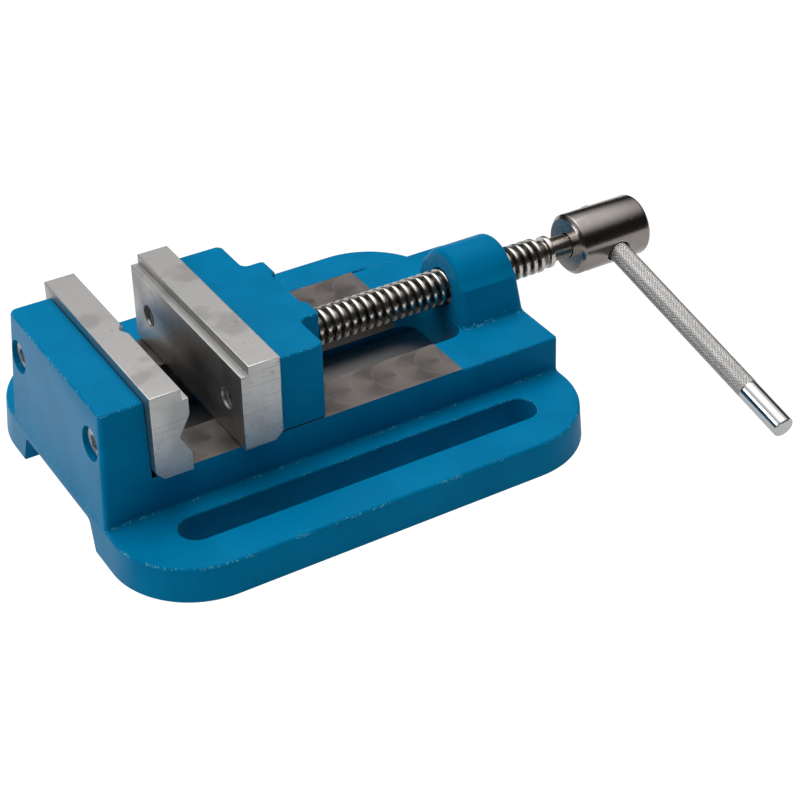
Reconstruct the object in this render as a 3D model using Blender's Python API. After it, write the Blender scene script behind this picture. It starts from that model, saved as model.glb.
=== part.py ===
"""Low drill-press vise: cast base, two jaws, lead screw and knurled handle.

Working axes: +X runs from the fixed jaw to the handle, +Y away from the
operator's near side, +Z up, with the fixed jaw plate's back face at X = 0, the
screw above Y = 0 and the bench at Z = 0. Sizes are in millimetres until MM
turns them into metres, and the last step shifts the finished vise so that the
world origin is at the bottom centre of its bounding box.
"""

import math

import bmesh
import bpy
from mathutils import Matrix, Vector

MM = 0.001
GAP = 0.3                 # clearance kept between pieces that touch
SHARP = math.radians(32)

# Base casting
BASE_LEFT = -22.2         # foot of the fixed jaw's end face
BASE_RIGHT = 190.0
END_LEAN = 3.8            # how far the end face leans in over its height
FLANGE_THICK = 15.7
FLANGE_HALF = 89.1        # half width over the two clamping flanges
FLANGE_DRAFT = 1.2
FLANGE_EDGE_R = 1.6
FLANGE_NEAR_LEFT_R = 35.0
FLANGE_FAR_LEFT_R = 44.0   # the casting's far corner is rounder
FLANGE_RIGHT_R = 37.0
BED_TOP = 32.4
BED_HALF_FOOT = 47.0      # half width of the bed where it meets the flanges
FIXED_TOP = 66.7
FIXED_HALF_TOP = 44.6
PAINTED_FROM = 141.7      # the machined rails end here and the paint starts
PAINT_STEP = 0.5          # the painted end of the bed lies this much lower
CHANNEL_TOP = 12.3
CHANNEL_HALF = 32.0       # half width at the channel's ceiling
CHANNEL_DRAFT = (6.2, 2.4) # how far the near and far walls lean out down to the bench
BED_SLOT = (14.0, 158.4)
BED_SLOT_HALF = 23.4
BED_SLOT_R = 8.0
FLANGE_SLOT = (2.0, 166.8)
FLANGE_SLOT_Y = 63.0
FLANGE_SLOT_HALF = 7.6

# Screw
SCREW_Z = 42.9
PITCH = 4.0
THREAD_R = 8.0
ROOT_R = 5.75
THREAD = (89.1, 213.3)
THREAD_SIDES = 20
COLLAR = (213.8, 216.2)   # plain land at the end of the thread
COLLAR_R = 7.4
SHANK_R = 5.5
TIP_X = 61.6
GROOVE = (67.6, 72.4)
GROOVE_R = 3.8

# Nut boss, part of the base casting
NUT = (158.7, 189.7)
NUT_R = 16.6
NUT_EDGE_R = 2.6
NUT_FOOT_HALF = 24.0
NUT_FILLET = 5.0
NUT_FRONT_LEAN = 0.11     # the faces lean in this much for each unit of height
NUT_REAR_LEAN = 0.05

# Jaw plates
PLATE_HALF = 50.0
PLATE_BOTTOM = BED_TOP + GAP
PLATE_TOP = 71.2
FIXED_PLATE = 16.0        # thickness at the clamping face
FIXED_STEP = (13.2, 66.3)
V_LOW, V_ROOT, V_HIGH = 41.1, 49.5, 58.7
V_DEPTH = 4.7
UPRIGHT_V_DEPTH = 4.9
V_HALF_ANGLE = math.radians(62.5)
MOVING_FACE = 38.3
MOVING_BACK = 55.4
MOVING_STEP = (41.6, 67.1)
PLATE_CHAMFER = 3.5

# Jaw screws, M8 socket head
JAW_SCREW_Y = 35.3
JAW_SCREW_Z = 49.5
M8_R = 4.0
M8_HEAD_R = 6.5
M8_HEAD = 8.0
HEX_R = 3.46              # corner radius of a 6 mm key
COUNTERBORE_R = 7.2
FIXED_SEAT = -9.5
MOVING_SEAT = 68.6

# Moving jaw casting
JAW_REAR = 77.7
JAW_TOP = FIXED_TOP
JAW_HALF_TOP = 45.3
JAW_BOSS_REAR = 87.2
JAW_BOSS_HALF = 24.6
JAW_RECESS = 2.2
JAW_RECESS_HALF = 14.2
TONGUE = (56.6, 82.0)
TONGUE_HALF = 22.7
TONGUE_BOTTOM = 12.2
JAW_BORE_START = 58.0
JAW_BORE_R = 5.9

# Guide plate under the rails
GUIDE_X = (54.0, 88.0)
GUIDE_HALF = 30.0
GUIDE_Z = (6.9, 11.9)
GUIDE_BOLT = (71.0, 15.0)
GUIDE_HEAD = (0.9, 4.9)   # bolt head's height range
GUIDE_BOLT_TIP = 28.0
M6_R = 3.0

# Dowels that hold the screw's tip in the moving jaw
PIN_X = 70.0
PIN_Y = 6.1
PIN_R = 2.0
PIN_TOP = 51.0

# Hub and handle
HUB = (226.6, 263.9)
HUB_R = 13.9
HANDLE_X = 246.5
HANDLE_DIP = math.radians(12.8)
HANDLE_R = 4.9
HANDLE_NEAR = 133.9
HANDLE_FAR = 15.6
HANDLE_SMOOTH = 25.0
HUB_PIN_X = 232.6
HUB_PIN_R = 1.5
HUB_PIN_TILT = math.radians(51.5)
SHANK_END = 238.2         # the screw's shank ends here, inside the hub

PAINT = (0.0, 0.195, 0.36, 1.0)
GROUND_STEEL = (0.42, 0.41, 0.40, 1.0)
BLACK_STEEL = (0.03, 0.03, 0.032, 1.0)
NICKEL = (0.62, 0.60, 0.56, 1.0)
ZINC = (0.50, 0.51, 0.52, 1.0)


# ---------------------------------------------------------------- helpers

def clear_scene():
    """Remove every object that the scene starts with."""
    for obj in list(bpy.data.objects):
        bpy.data.objects.remove(obj, do_unlink=True)


def make_material(name, colour, roughness, metallic):
    """Plain Principled material for one piece."""
    material = bpy.data.materials.new(name)
    material.use_nodes = True
    shader = material.node_tree.nodes["Principled BSDF"]
    shader.inputs["Base Color"].default_value = colour
    shader.inputs["Roughness"].default_value = roughness
    shader.inputs["Metallic"].default_value = metallic
    material.diffuse_color = colour
    return material


def to_object(name, bm, origin=(0.0, 0.0, 0.0)):
    """Turn a bmesh in millimetres into an object whose origin is at a given point."""
    bmesh.ops.recalc_face_normals(bm, faces=bm.faces)
    bm.transform(Matrix.Scale(MM, 4) @ Matrix.Translation(-Vector(origin)))
    mesh = bpy.data.meshes.new(name)
    bm.to_mesh(mesh)
    bm.free()
    obj = bpy.data.objects.new(name, mesh)
    obj.location = Vector(origin) * MM
    bpy.context.collection.objects.link(obj)
    return obj


def dress(obj, look):
    """Give a finished piece its material and its smooth and sharp edges."""
    obj.data.materials.clear()
    obj.data.materials.append(make_material(obj.name, *look))
    obj.data.shade_smooth()
    obj.data.set_sharp_from_angle(angle=SHARP)
    return obj


def loft(rings):
    """Closed body through rings of equal point count, capped at both ends."""
    bm = bmesh.new()
    rows = [[bm.verts.new(point) for point in ring] for ring in rings]
    count = len(rows[0])
    for lower, upper in zip(rows, rows[1:]):
        for i in range(count):
            j = (i + 1) % count
            bm.faces.new((lower[i], lower[j], upper[j], upper[i]))
    bm.faces.new(list(reversed(rows[0])))
    bm.faces.new(rows[-1])
    return bm


def prism_y(outline, half):
    """Extrude an outline of (x, z) points along Y, the same distance each way."""
    return loft([[(x, y, z) for x, z in outline] for y in (-half, half)])


def prism_z(outline, low, high):
    """Extrude an outline of (x, y) points along Z."""
    return loft([[(x, y, z) for x, y in outline] for z in (low, high)])


def box(low, high):
    """Axis-aligned block."""
    outline = [(low[0], low[1]), (high[0], low[1]), (high[0], high[1]), (low[0], high[1])]
    return prism_z(outline, low[2], high[2])


def arc(centre, radius, start, end, steps):
    """Points on a circular arc, angles in degrees."""
    points = []
    for i in range(steps + 1):
        angle = math.radians(start + (end - start) * i / steps)
        points.append((centre[0] + radius * math.cos(angle), centre[1] + radius * math.sin(angle)))
    return points


def turned(sections, sides=32):
    """Round body along X from (x, radius) sections."""
    rings = []
    for x, radius in sections:
        ring = []
        for i in range(sides):
            angle = math.tau * i / sides
            ring.append((x, radius * math.cos(angle), radius * math.sin(angle)))
        rings.append(ring)
    return loft(rings)


def place(bm, matrix):
    """Move a bmesh and hand it back."""
    bm.transform(matrix)
    return bm


def stand(x, y, z):
    """Matrix that stands a body turned along X upright at a place."""
    return Matrix.Translation((x, y, z)) @ Matrix.Rotation(-math.pi / 2, 4, 'Y')


def combine(target, tools, operation):
    """Join or cut a body with helper solids, then drop the helpers."""
    helpers = []
    for index, bm in enumerate(tools):
        helper = to_object(f"helper_{index}", bm)
        helper.hide_render = True
        helper.display_type = 'WIRE'
        modifier = target.modifiers.new(f"step_{index}", 'BOOLEAN')
        modifier.operation = operation
        modifier.solver = 'EXACT'
        modifier.object = helper
        helpers.append(helper)
    graph = bpy.context.evaluated_depsgraph_get()
    shaped = bpy.data.meshes.new_from_object(target.evaluated_get(graph))
    old = target.data
    target.modifiers.clear()
    target.data = shaped
    bpy.data.meshes.remove(old)
    for helper in helpers:
        bpy.data.objects.remove(helper, do_unlink=True)
    return target


def thread_column(phase, turns, start, crest_half, flank):
    """X places of the four profile points of every turn along one side."""
    places = []
    for turn in range(turns):
        middle = start + (turn + 0.5 + phase) * PITCH
        places += [middle - crest_half - flank, middle - crest_half,
                   middle + crest_half, middle + crest_half + flank]
    return places


def threaded_body(before, start, end, after, root, crest, grow=0.0):
    """Right-hand trapezoidal thread between two runs of (x, radius) sections.

    grow widens the profile on every side, for the matching hole in the nut.
    """
    turns = int((end - start) / PITCH)
    crest_half = PITCH * 0.18 + grow
    flank = PITCH * 0.15
    bm = bmesh.new()
    columns = []
    for side in range(THREAD_SIDES):
        angle = math.tau * side / THREAD_SIDES
        places = thread_column(side / THREAD_SIDES, turns, start, crest_half, flank)
        places[-4:] = [places[-5] + (end - places[-5]) * share / 5 for share in (1, 2, 3, 4)]
        column = []
        for index, x in enumerate(places):
            high = index % 4 in (1, 2) and 4 <= index < len(places) - 4
            radius = crest + grow if high else root + grow
            column.append(bm.verts.new((x, radius * math.cos(angle), radius * math.sin(angle))))
        columns.append(column)
    rows = len(columns[0])
    for side in range(THREAD_SIDES - 1):
        left, right = columns[side], columns[side + 1]
        for row in range(rows - 1):
            bm.faces.new((left[row], left[row + 1], right[row + 1], right[row]))
    last, first = columns[-1], columns[0]
    for row in range(rows - 5):
        bm.faces.new((last[row], last[row + 1], first[row + 5], first[row + 4]))
    head = _round_rows(bm, before)
    tail = _round_rows(bm, after)
    for side in range(THREAD_SIDES - 1):
        bm.faces.new((head[side], columns[side][0], columns[side + 1][0], head[side + 1]))
        bm.faces.new((columns[side][-1], tail[side], tail[side + 1], columns[side + 1][-1]))
    bm.faces.new([head[-1], last[0]] + first[4::-1] + [head[0]])
    bm.faces.new(last[-5:] + [tail[-1], tail[0], first[-1]])
    return bm


def _round_rows(bm, sections):
    """Capped run of round sections; returns the ring that meets the thread."""
    rows = []
    for x, radius in sections:
        row = []
        for side in range(THREAD_SIDES):
            angle = math.tau * side / THREAD_SIDES
            row.append(bm.verts.new((x, radius * math.cos(angle), radius * math.sin(angle))))
        rows.append(row)
    for near, far in zip(rows, rows[1:]):
        for side in range(THREAD_SIDES):
            after = (side + 1) % THREAD_SIDES
            bm.faces.new((near[side], far[side], far[after], near[after]))
    bm.faces.new(rows[0])
    return rows[-1]


# ------------------------------------------------------------ base casting

def rounded_plan(left, right, half, near_left, far_left, right_r, steps=10):
    """Plan outline with a radius for each left corner and one for the right pair."""
    points = arc((right - right_r, right_r - half), right_r, -90, 0, steps)
    points += arc((right - right_r, half - right_r), right_r, 0, 90, steps)
    points += arc((left + far_left, half - far_left), far_left, 90, 180, steps)
    points += arc((left + near_left, near_left - half), near_left, 180, 270, steps)
    return points


def bed_half(z):
    """Half width of the drafted bed and fixed jaw at a height."""
    slope = (FIXED_HALF_TOP - BED_HALF_FOOT) / (FIXED_TOP - FLANGE_THICK)
    return BED_HALF_FOOT + slope * (z - FLANGE_THICK)


def end_face_x(z):
    """X of the leaning end face behind the fixed jaw at a height."""
    return BASE_LEFT + END_LEAN * max(0.0, z - CHANNEL_TOP) / (FIXED_TOP - CHANNEL_TOP)


def flanges():
    """Both clamping flanges as one drafted slab with large round corners."""
    rings = []
    sections = [(0.0, FLANGE_DRAFT)]
    for angle in (0, 30, 60, 90):
        turn = math.radians(angle)
        sections.append((FLANGE_THICK - FLANGE_EDGE_R * (1 - math.sin(turn)),
                         -FLANGE_EDGE_R * (1 - math.cos(turn))))
    for z, grow in sections:
        plan = rounded_plan(BASE_LEFT - grow, BASE_RIGHT + grow, FLANGE_HALF + grow,
                            FLANGE_NEAR_LEFT_R + grow, FLANGE_FAR_LEFT_R + grow,
                            FLANGE_RIGHT_R + grow)
        rings.append([(x, y, z) for x, y in plan])
    return loft(rings)


def bed_and_fixed_jaw():
    """Bed with the fixed jaw block standing on its left end."""
    painted_top = BED_TOP - PAINT_STEP
    side = [(end_face_x(2.0), 2.0), (BASE_RIGHT, 2.0), (BASE_RIGHT, painted_top),
            (PAINTED_FROM, painted_top), (PAINTED_FROM, BED_TOP), (-GAP, BED_TOP),
            (-GAP, FIXED_TOP), (end_face_x(FIXED_TOP), FIXED_TOP),
            (end_face_x(CHANNEL_TOP), CHANNEL_TOP)]
    bm = loft([[(x, sign * bed_half(z), z) for x, z in side] for sign in (-1, 1)])
    bm.edges.ensure_lookup_table()
    rounded = []
    for edge in bm.edges:
        first, second = (vert.co for vert in edge.verts)
        at_end = all(abs(co.x - end_face_x(co.z)) < 0.01 for co in (first, second))
        at_right = all(abs(co.x - BASE_RIGHT) < 0.01 for co in (first, second))
        on_top = abs(first.z - FIXED_TOP) < 0.01 and abs(second.z - FIXED_TOP) < 0.01
        across = abs(first.y - second.y) > 1.0
        if (at_end and not across) or (on_top and min(first.x, second.x) < -GAP - 1.0) or at_right:
            rounded.append(edge)
    bmesh.ops.bevel(bm, geom=rounded, offset=2.4, segments=4, profile=0.5, affect='EDGES')
    return bm


def nut_outline(inset):
    """Section of the nut boss: round top, leaning flanks and flared foot."""
    radius = NUT_R - inset
    foot = NUT_FOOT_HALF - inset
    right = [(foot, BED_TOP - 4.0)]
    right += arc((foot + 0.2, BED_TOP - PAINT_STEP + NUT_FILLET), NUT_FILLET, 270, 190, 4)
    dome = arc((0.0, SCREW_Z), radius, -5, 185, 22)
    left = [(-y, z) for y, z in reversed(right)]
    return right + dome + left


def nut_boss():
    """Boss with the screw's thread, its leaning faces rounded into its sides."""
    rings = []
    for end, way, lean in ((NUT[0], 1.0, NUT_FRONT_LEAN), (NUT[1], -1.0, NUT_REAR_LEAN)):
        face = []
        for angle in (0, 22.5, 45, 67.5, 90):
            depth = NUT_EDGE_R * (1 - math.cos(math.radians(angle)))
            inset = NUT_EDGE_R * (1 - math.sin(math.radians(angle)))
            face.append([(end + way * (depth + lean * max(0.0, z - BED_TOP)), y, z)
                         for y, z in nut_outline(inset)])
        rings += face if way > 0 else reversed(face)
    return loft(rings)


def round_ended(start, end, half, y, low, high):
    """Upright cutter with round ends for a clamping slot."""
    outline = arc((end - half, y), half, -90, 90, 12) + arc((start + half, y), half, 90, 270, 12)
    return prism_z(outline, low, high)


def channel():
    """Cutter for the hollow under the bed, wider at the bench than at its ceiling."""
    drop = 5.0
    left, right = BASE_LEFT - 20, BASE_RIGHT + 20
    rings = []
    for z, share in ((-drop, (CHANNEL_TOP + drop) / CHANNEL_TOP), (CHANNEL_TOP, 0.0)):
        near, far = (CHANNEL_HALF + lean * share for lean in CHANNEL_DRAFT)
        rings.append([(left, -near, z), (right, -near, z), (right, far, z), (left, far, z)])
    return loft(rings)


def base_casting():
    """One blue casting: flanges, bed, fixed jaw block and nut boss."""
    obj = to_object("base_casting", bed_and_fixed_jaw())
    combine(obj, [flanges(), nut_boss()], 'UNION')
    slot = rounded_plan(*BED_SLOT, BED_SLOT_HALF, BED_SLOT_R, BED_SLOT_R, BED_SLOT_R, 5)
    cuts = [channel(), prism_z(slot, CHANNEL_TOP - 4.0, BED_TOP + 4.0)]
    for sign in (-1, 1):
        cuts.append(round_ended(FLANGE_SLOT[0], FLANGE_SLOT[1], FLANGE_SLOT_HALF,
                                sign * FLANGE_SLOT_Y, -3.0, FLANGE_THICK + 3.0))
        bore = turned([(BASE_LEFT - 8, COUNTERBORE_R), (FIXED_SEAT, COUNTERBORE_R),
                       (FIXED_SEAT, M8_R + 0.4), (3.0, M8_R + 0.4)], 28)
        cuts.append(place(bore, Matrix.Translation((0, sign * JAW_SCREW_Y, JAW_SCREW_Z))))
    lead = THREAD[0] + 15 * PITCH
    out = THREAD[0] + 29 * PITCH
    wide = ROOT_R + GAP
    thread = threaded_body([(lead - 3, wide), (lead, wide)], lead, out,
                           [(out + 3, wide), (out, wide)], ROOT_R, THREAD_R, GAP)
    cuts.append(place(thread, Matrix.Translation((0, 0, SCREW_Z))))
    combine(obj, cuts, 'DIFFERENCE')
    return dress(obj, (PAINT, 0.35, 0.0))


# -------------------------------------------------------------- jaw plates

def fixed_jaw_plate():
    """Hard steel plate with a step along its top and two crossing V grooves."""
    step_x, step_z = FIXED_STEP
    v_x = FIXED_PLATE - V_DEPTH
    side = [(PLATE_CHAMFER, PLATE_BOTTOM), (FIXED_PLATE, PLATE_BOTTOM), (FIXED_PLATE, V_LOW),
            (v_x, V_ROOT), (FIXED_PLATE, V_HIGH), (FIXED_PLATE, step_z), (step_x, step_z),
            (step_x, PLATE_TOP), (0.0, PLATE_TOP), (0.0, PLATE_BOTTOM + PLATE_CHAMFER)]
    obj = to_object("fixed_jaw_plate", prism_y(side, PLATE_HALF))
    reach = 6.0
    apex = FIXED_PLATE - UPRIGHT_V_DEPTH
    spread = (UPRIGHT_V_DEPTH + reach) * math.tan(V_HALF_ANGLE)
    groove = [(apex, 0.0), (FIXED_PLATE + reach, -spread), (FIXED_PLATE + reach, spread)]
    cuts = [prism_z(groove, PLATE_BOTTOM - 4.0, PLATE_TOP + 4.0)]
    for sign in (-1, 1):
        hole = turned([(-3.0, M8_R + GAP), (9.9, M8_R + GAP)], 28)
        cuts.append(place(hole, Matrix.Translation((0, sign * JAW_SCREW_Y, JAW_SCREW_Z))))
    combine(obj, cuts, 'DIFFERENCE')
    return dress(obj, (GROUND_STEEL, 0.3, 1.0))


def moving_jaw_plate():
    """Hard steel plate with a flat face, a step and two tapped holes."""
    step_x, step_z = MOVING_STEP
    side = [(MOVING_FACE, PLATE_BOTTOM), (MOVING_BACK - PLATE_CHAMFER, PLATE_BOTTOM),
            (MOVING_BACK, PLATE_BOTTOM + PLATE_CHAMFER), (MOVING_BACK, PLATE_TOP),
            (step_x, PLATE_TOP), (step_x, step_z), (MOVING_FACE, step_z)]
    obj = to_object("moving_jaw_plate", prism_y(side, PLATE_HALF), (MOVING_FACE, 0, SCREW_Z))
    cuts = []
    for sign in (-1, 1):
        hole = turned([(MOVING_FACE - 1.0, M8_R + 2.0), (MOVING_FACE + 0.8, M8_R + GAP),
                       (MOVING_BACK + 3.0, M8_R + GAP)], 28)
        cuts.append(place(hole, Matrix.Translation((0, sign * JAW_SCREW_Y, JAW_SCREW_Z))))
    combine(obj, cuts, 'DIFFERENCE')
    return dress(obj, (GROUND_STEEL, 0.3, 1.0))


def jaw_screw(name, outer, seat, tip, y, metal):
    """M8 socket head screw along X, its head at outer and its point at tip."""
    way = 1.0 if tip > outer else -1.0
    body = turned([(outer, M8_HEAD_R - 0.7), (outer + 0.7 * way, M8_HEAD_R), (seat, M8_HEAD_R),
                   (seat, M8_R), (tip - 0.9 * way, M8_R), (tip, M8_R - 0.9)], 28)
    centre = (outer, y, JAW_SCREW_Z)
    obj = to_object(name, place(body, Matrix.Translation((0, y, JAW_SCREW_Z))), centre)
    socket = turned([(outer - 2.0 * way, HEX_R), (outer + 4.2 * way, HEX_R)], 6)
    combine(obj, [place(socket, Matrix.Translation((0, y, JAW_SCREW_Z)))], 'DIFFERENCE')
    return dress(obj, (metal, 0.4, 1.0))


# ------------------------------------------------------- moving jaw casting

def moving_plan():
    """Plan of the moving jaw: block, central boss and its shallow rear recess."""
    half, boss, rear = JAW_HALF_TOP + 0.5, JAW_BOSS_HALF, JAW_REAR
    near = [(MOVING_BACK + GAP, -half)]
    near += arc((rear - 3.0, 3.0 - half), 3.0, -90, 0, 4)
    near += arc((rear + 3.0, -boss - 3.0), 3.0, 180, 90, 4)
    near += arc((JAW_BOSS_REAR - 1.6, 1.6 - boss), 1.6, -90, 0, 3)
    near += [(JAW_BOSS_REAR, -JAW_RECESS_HALF), (JAW_BOSS_REAR - JAW_RECESS, 1.4 - JAW_RECESS_HALF)]
    return near + [(x, -y) for x, y in reversed(near)]


def moving_jaw_casting():
    """Blue jaw block with the screw's boss and the tongue that runs in the bed slot."""
    bottom = BED_TOP + GAP
    narrow = JAW_HALF_TOP / (JAW_HALF_TOP + 0.5)
    plan = moving_plan()
    block = loft([[(x, y, bottom) for x, y in plan], [(x, y * narrow, JAW_TOP) for x, y in plan]])
    obj = to_object("moving_jaw_casting", block, (JAW_REAR, 0, SCREW_Z))
    tongue = box((TONGUE[0], -TONGUE_HALF, TONGUE_BOTTOM), (TONGUE[1], TONGUE_HALF, bottom + 2.0))
    combine(obj, [tongue], 'UNION')
    bore = turned([(JAW_BORE_START, JAW_BORE_R), (JAW_BOSS_REAR + 4.0, JAW_BORE_R)], 28)
    cuts = [place(bore, Matrix.Translation((0, 0, SCREW_Z)))]
    for sign in (-1, 1):
        hole = turned([(MOVING_BACK - 3.0, M8_R + 0.4), (MOVING_SEAT, M8_R + 0.4),
                       (MOVING_SEAT, COUNTERBORE_R), (JAW_REAR + 4.0, COUNTERBORE_R)], 28)
        cuts.append(place(hole, Matrix.Translation((0, sign * JAW_SCREW_Y, JAW_SCREW_Z))))
        dowel = turned([(TONGUE_BOTTOM - 3.0, PIN_R + GAP), (PIN_TOP + GAP, PIN_R + GAP)], 18)
        cuts.append(place(dowel, stand(PIN_X, sign * PIN_Y, 0)))
        tapped = turned([(TONGUE_BOTTOM - 3.0, M6_R + GAP), (GUIDE_BOLT_TIP + 0.8, M6_R + GAP)], 18)
        cuts.append(place(tapped, stand(GUIDE_BOLT[0], sign * GUIDE_BOLT[1], 0)))
    combine(obj, cuts, 'DIFFERENCE')
    return dress(obj, (PAINT, 0.35, 0.0))


def guide_plate():
    """Steel plate under the rails that keeps the moving jaw down."""
    low, high = GUIDE_Z
    block = box((GUIDE_X[0], -GUIDE_HALF, low), (GUIDE_X[1], GUIDE_HALF, high))
    obj = to_object("guide_plate", block, (GUIDE_BOLT[0], 0, low))
    cuts = []
    for sign in (-1, 1):
        hole = turned([(low - 3.0, M6_R + 0.4), (high + 3.0, M6_R + 0.4)], 18)
        cuts.append(place(hole, stand(GUIDE_BOLT[0], sign * GUIDE_BOLT[1], 0)))
    combine(obj, cuts, 'DIFFERENCE')
    return dress(obj, (GROUND_STEEL, 0.4, 1.0))


def guide_bolt(name, y):
    """M6 hexagon bolt that holds the guide plate up to the tongue."""
    head = turned([(GUIDE_HEAD[0], 5.2), (GUIDE_HEAD[0] + 0.4, 5.77), (GUIDE_HEAD[1], 5.77)], 6)
    obj = to_object(name, place(head, stand(GUIDE_BOLT[0], y, 0)), (GUIDE_BOLT[0], y, GUIDE_HEAD[1]))
    shank = turned([(GUIDE_HEAD[1] - 0.5, M6_R), (GUIDE_BOLT_TIP - 0.6, M6_R),
                    (GUIDE_BOLT_TIP, M6_R - 0.6)], 18)
    combine(obj, [place(shank, stand(GUIDE_BOLT[0], y, 0))], 'UNION')
    return dress(obj, (ZINC, 0.35, 1.0))


def guide_washer(name, y):
    """Split spring washer between bolt head and guide plate."""
    low = GUIDE_HEAD[1] + GAP
    high = GUIDE_Z[0] - GAP
    ring = turned([(low, 5.4), (high, 5.4)], 24)
    obj = to_object(name, place(ring, stand(GUIDE_BOLT[0], y, 0)), (GUIDE_BOLT[0], y, low))
    hole = turned([(low - 1.0, M6_R + GAP), (high + 1.0, M6_R + GAP)], 24)
    split = box((GUIDE_BOLT[0] + 1.0, y - 0.5, low - 1.0), (GUIDE_BOLT[0] + 8.0, y + 0.5, high + 1.0))
    combine(obj, [place(hole, stand(GUIDE_BOLT[0], y, 0)), split], 'DIFFERENCE')
    return dress(obj, (ZINC, 0.35, 1.0))


def retaining_pin(name, y):
    """Dowel beside the groove in the screw's tip, so the screw pulls the jaw back."""
    low = TONGUE_BOTTOM + GAP
    pin = turned([(low, PIN_R - 0.4), (low + 0.4, PIN_R), (PIN_TOP - 0.4, PIN_R), (PIN_TOP, PIN_R - 0.4)], 18)
    obj = to_object(name, place(pin, stand(PIN_X, y, 0)), (PIN_X, y, low))
    return dress(obj, (GROUND_STEEL, 0.25, 1.0))


def thrust_disc():
    """Hard disc at the bottom of the jaw's bore that the screw presses on."""
    start, end = JAW_BORE_START + GAP, TIP_X - GAP
    disc = turned([(start, 5.0), (start + 0.5, 5.5), (end - 0.5, 5.5), (end, 5.0)], 24)
    obj = to_object("thrust_disc", place(disc, Matrix.Translation((0, 0, SCREW_Z))), (start, 0, SCREW_Z))
    return dress(obj, (GROUND_STEEL, 0.2, 1.0))


# ------------------------------------------------------- screw, hub, handle

def hub_pin_axis():
    """Direction of the pin that fixes the hub to the screw."""
    return Vector((0.0, math.cos(HUB_PIN_TILT), math.sin(HUB_PIN_TILT)))


def handle_axis():
    """Direction of the bar from the hub towards the operator."""
    return Vector((0.0, -math.cos(HANDLE_DIP), -math.sin(HANDLE_DIP)))


def across(axis, x):
    """Matrix that lays a body turned along X onto an axis through the screw's axis."""
    turn = Vector((1.0, 0.0, 0.0)).rotation_difference(axis).to_matrix().to_4x4()
    return Matrix.Translation((x, 0.0, SCREW_Z)) @ turn


def lead_screw():
    """Trapezoidal screw: grooved tip, right-hand thread and plain shank."""
    tip = [(TIP_X, SHANK_R - 0.6), (TIP_X + 0.6, SHANK_R), (GROOVE[0], SHANK_R), (GROOVE[0], GROOVE_R),
           (GROOVE[1], GROOVE_R), (GROOVE[1], SHANK_R), (THREAD[0] - 0.8, SHANK_R), (THREAD[0], ROOT_R)]
    shank = [(SHANK_END, SHANK_R - 0.6), (SHANK_END - 0.6, SHANK_R), (COLLAR[1] + 1.0, SHANK_R),
             (COLLAR[1], COLLAR_R), (COLLAR[0], COLLAR_R), (COLLAR[0] - 0.3, ROOT_R),
             (THREAD[1], ROOT_R)]
    bm = threaded_body(tip, THREAD[0], THREAD[1], shank, ROOT_R, THREAD_R)
    bm = place(bm, Matrix.Translation((0, 0, SCREW_Z)))
    obj = to_object("lead_screw", bm, (THREAD[0], 0, SCREW_Z))
    hole = turned([(-9.0, HUB_PIN_R + GAP), (9.0, HUB_PIN_R + GAP)], 16)
    combine(obj, [place(hole, across(hub_pin_axis(), HUB_PIN_X))], 'DIFFERENCE')
    return dress(obj, (NICKEL, 0.22, 1.0))


def screw_hub():
    """Round head on the screw with the cross hole for the bar."""
    start, end = HUB
    body = turned([(start, HUB_R - 1.3), (start + 1.3, HUB_R), (end - 1.5, HUB_R), (end, HUB_R - 1.5)], 48)
    obj = to_object("screw_hub", place(body, Matrix.Translation((0, 0, SCREW_Z))), (start, 0, SCREW_Z))
    centred = Matrix.Translation((0, 0, SCREW_Z))
    cuts = [place(turned([(start - 3.0, SHANK_R + GAP), (SHANK_END + GAP, SHANK_R + GAP)], 24), centred),
            place(turned([(HANDLE_X, M6_R + GAP), (end + 3.0, M6_R + GAP)], 18), centred),
            place(turned([(-20.0, HANDLE_R + 0.5), (20.0, HANDLE_R + 0.5)], 32),
                  across(handle_axis(), HANDLE_X)),
            place(turned([(-20.0, HUB_PIN_R + GAP), (20.0, HUB_PIN_R + GAP)], 16),
                  across(hub_pin_axis(), HUB_PIN_X))]
    combine(obj, cuts, 'DIFFERENCE')
    return dress(obj, (NICKEL, 0.2, 1.0))


def hub_pin():
    """Spring pin through hub and shank."""
    half = HUB_R - 0.9
    pin = turned([(-half, HUB_PIN_R - 0.3), (0.3 - half, HUB_PIN_R), (half - 0.3, HUB_PIN_R),
                  (half, HUB_PIN_R - 0.3)], 16)
    pin = place(pin, across(hub_pin_axis(), HUB_PIN_X))
    return dress(to_object("hub_pin", pin, (HUB_PIN_X, 0, SCREW_Z)), (GROUND_STEEL, 0.3, 1.0))


def handle_grub_screw():
    """Socket set screw in the hub's end face that clamps the bar."""
    start, end = HANDLE_X + HANDLE_R + GAP, HUB[1] - 1.6
    body = turned([(start, M6_R - 1.2), (start + 1.2, M6_R), (end - 0.4, M6_R), (end, M6_R - 0.4)], 18)
    body = place(body, Matrix.Translation((0, 0, SCREW_Z)))
    obj = to_object("handle_grub_screw", body, (start, 0, SCREW_Z))
    socket = turned([(end - 3.2, 1.73), (end + 2.0, 1.73)], 6)
    combine(obj, [place(socket, Matrix.Translation((0, 0, SCREW_Z)))], 'DIFFERENCE')
    return dress(obj, (BLACK_STEEL, 0.4, 1.0))


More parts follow.
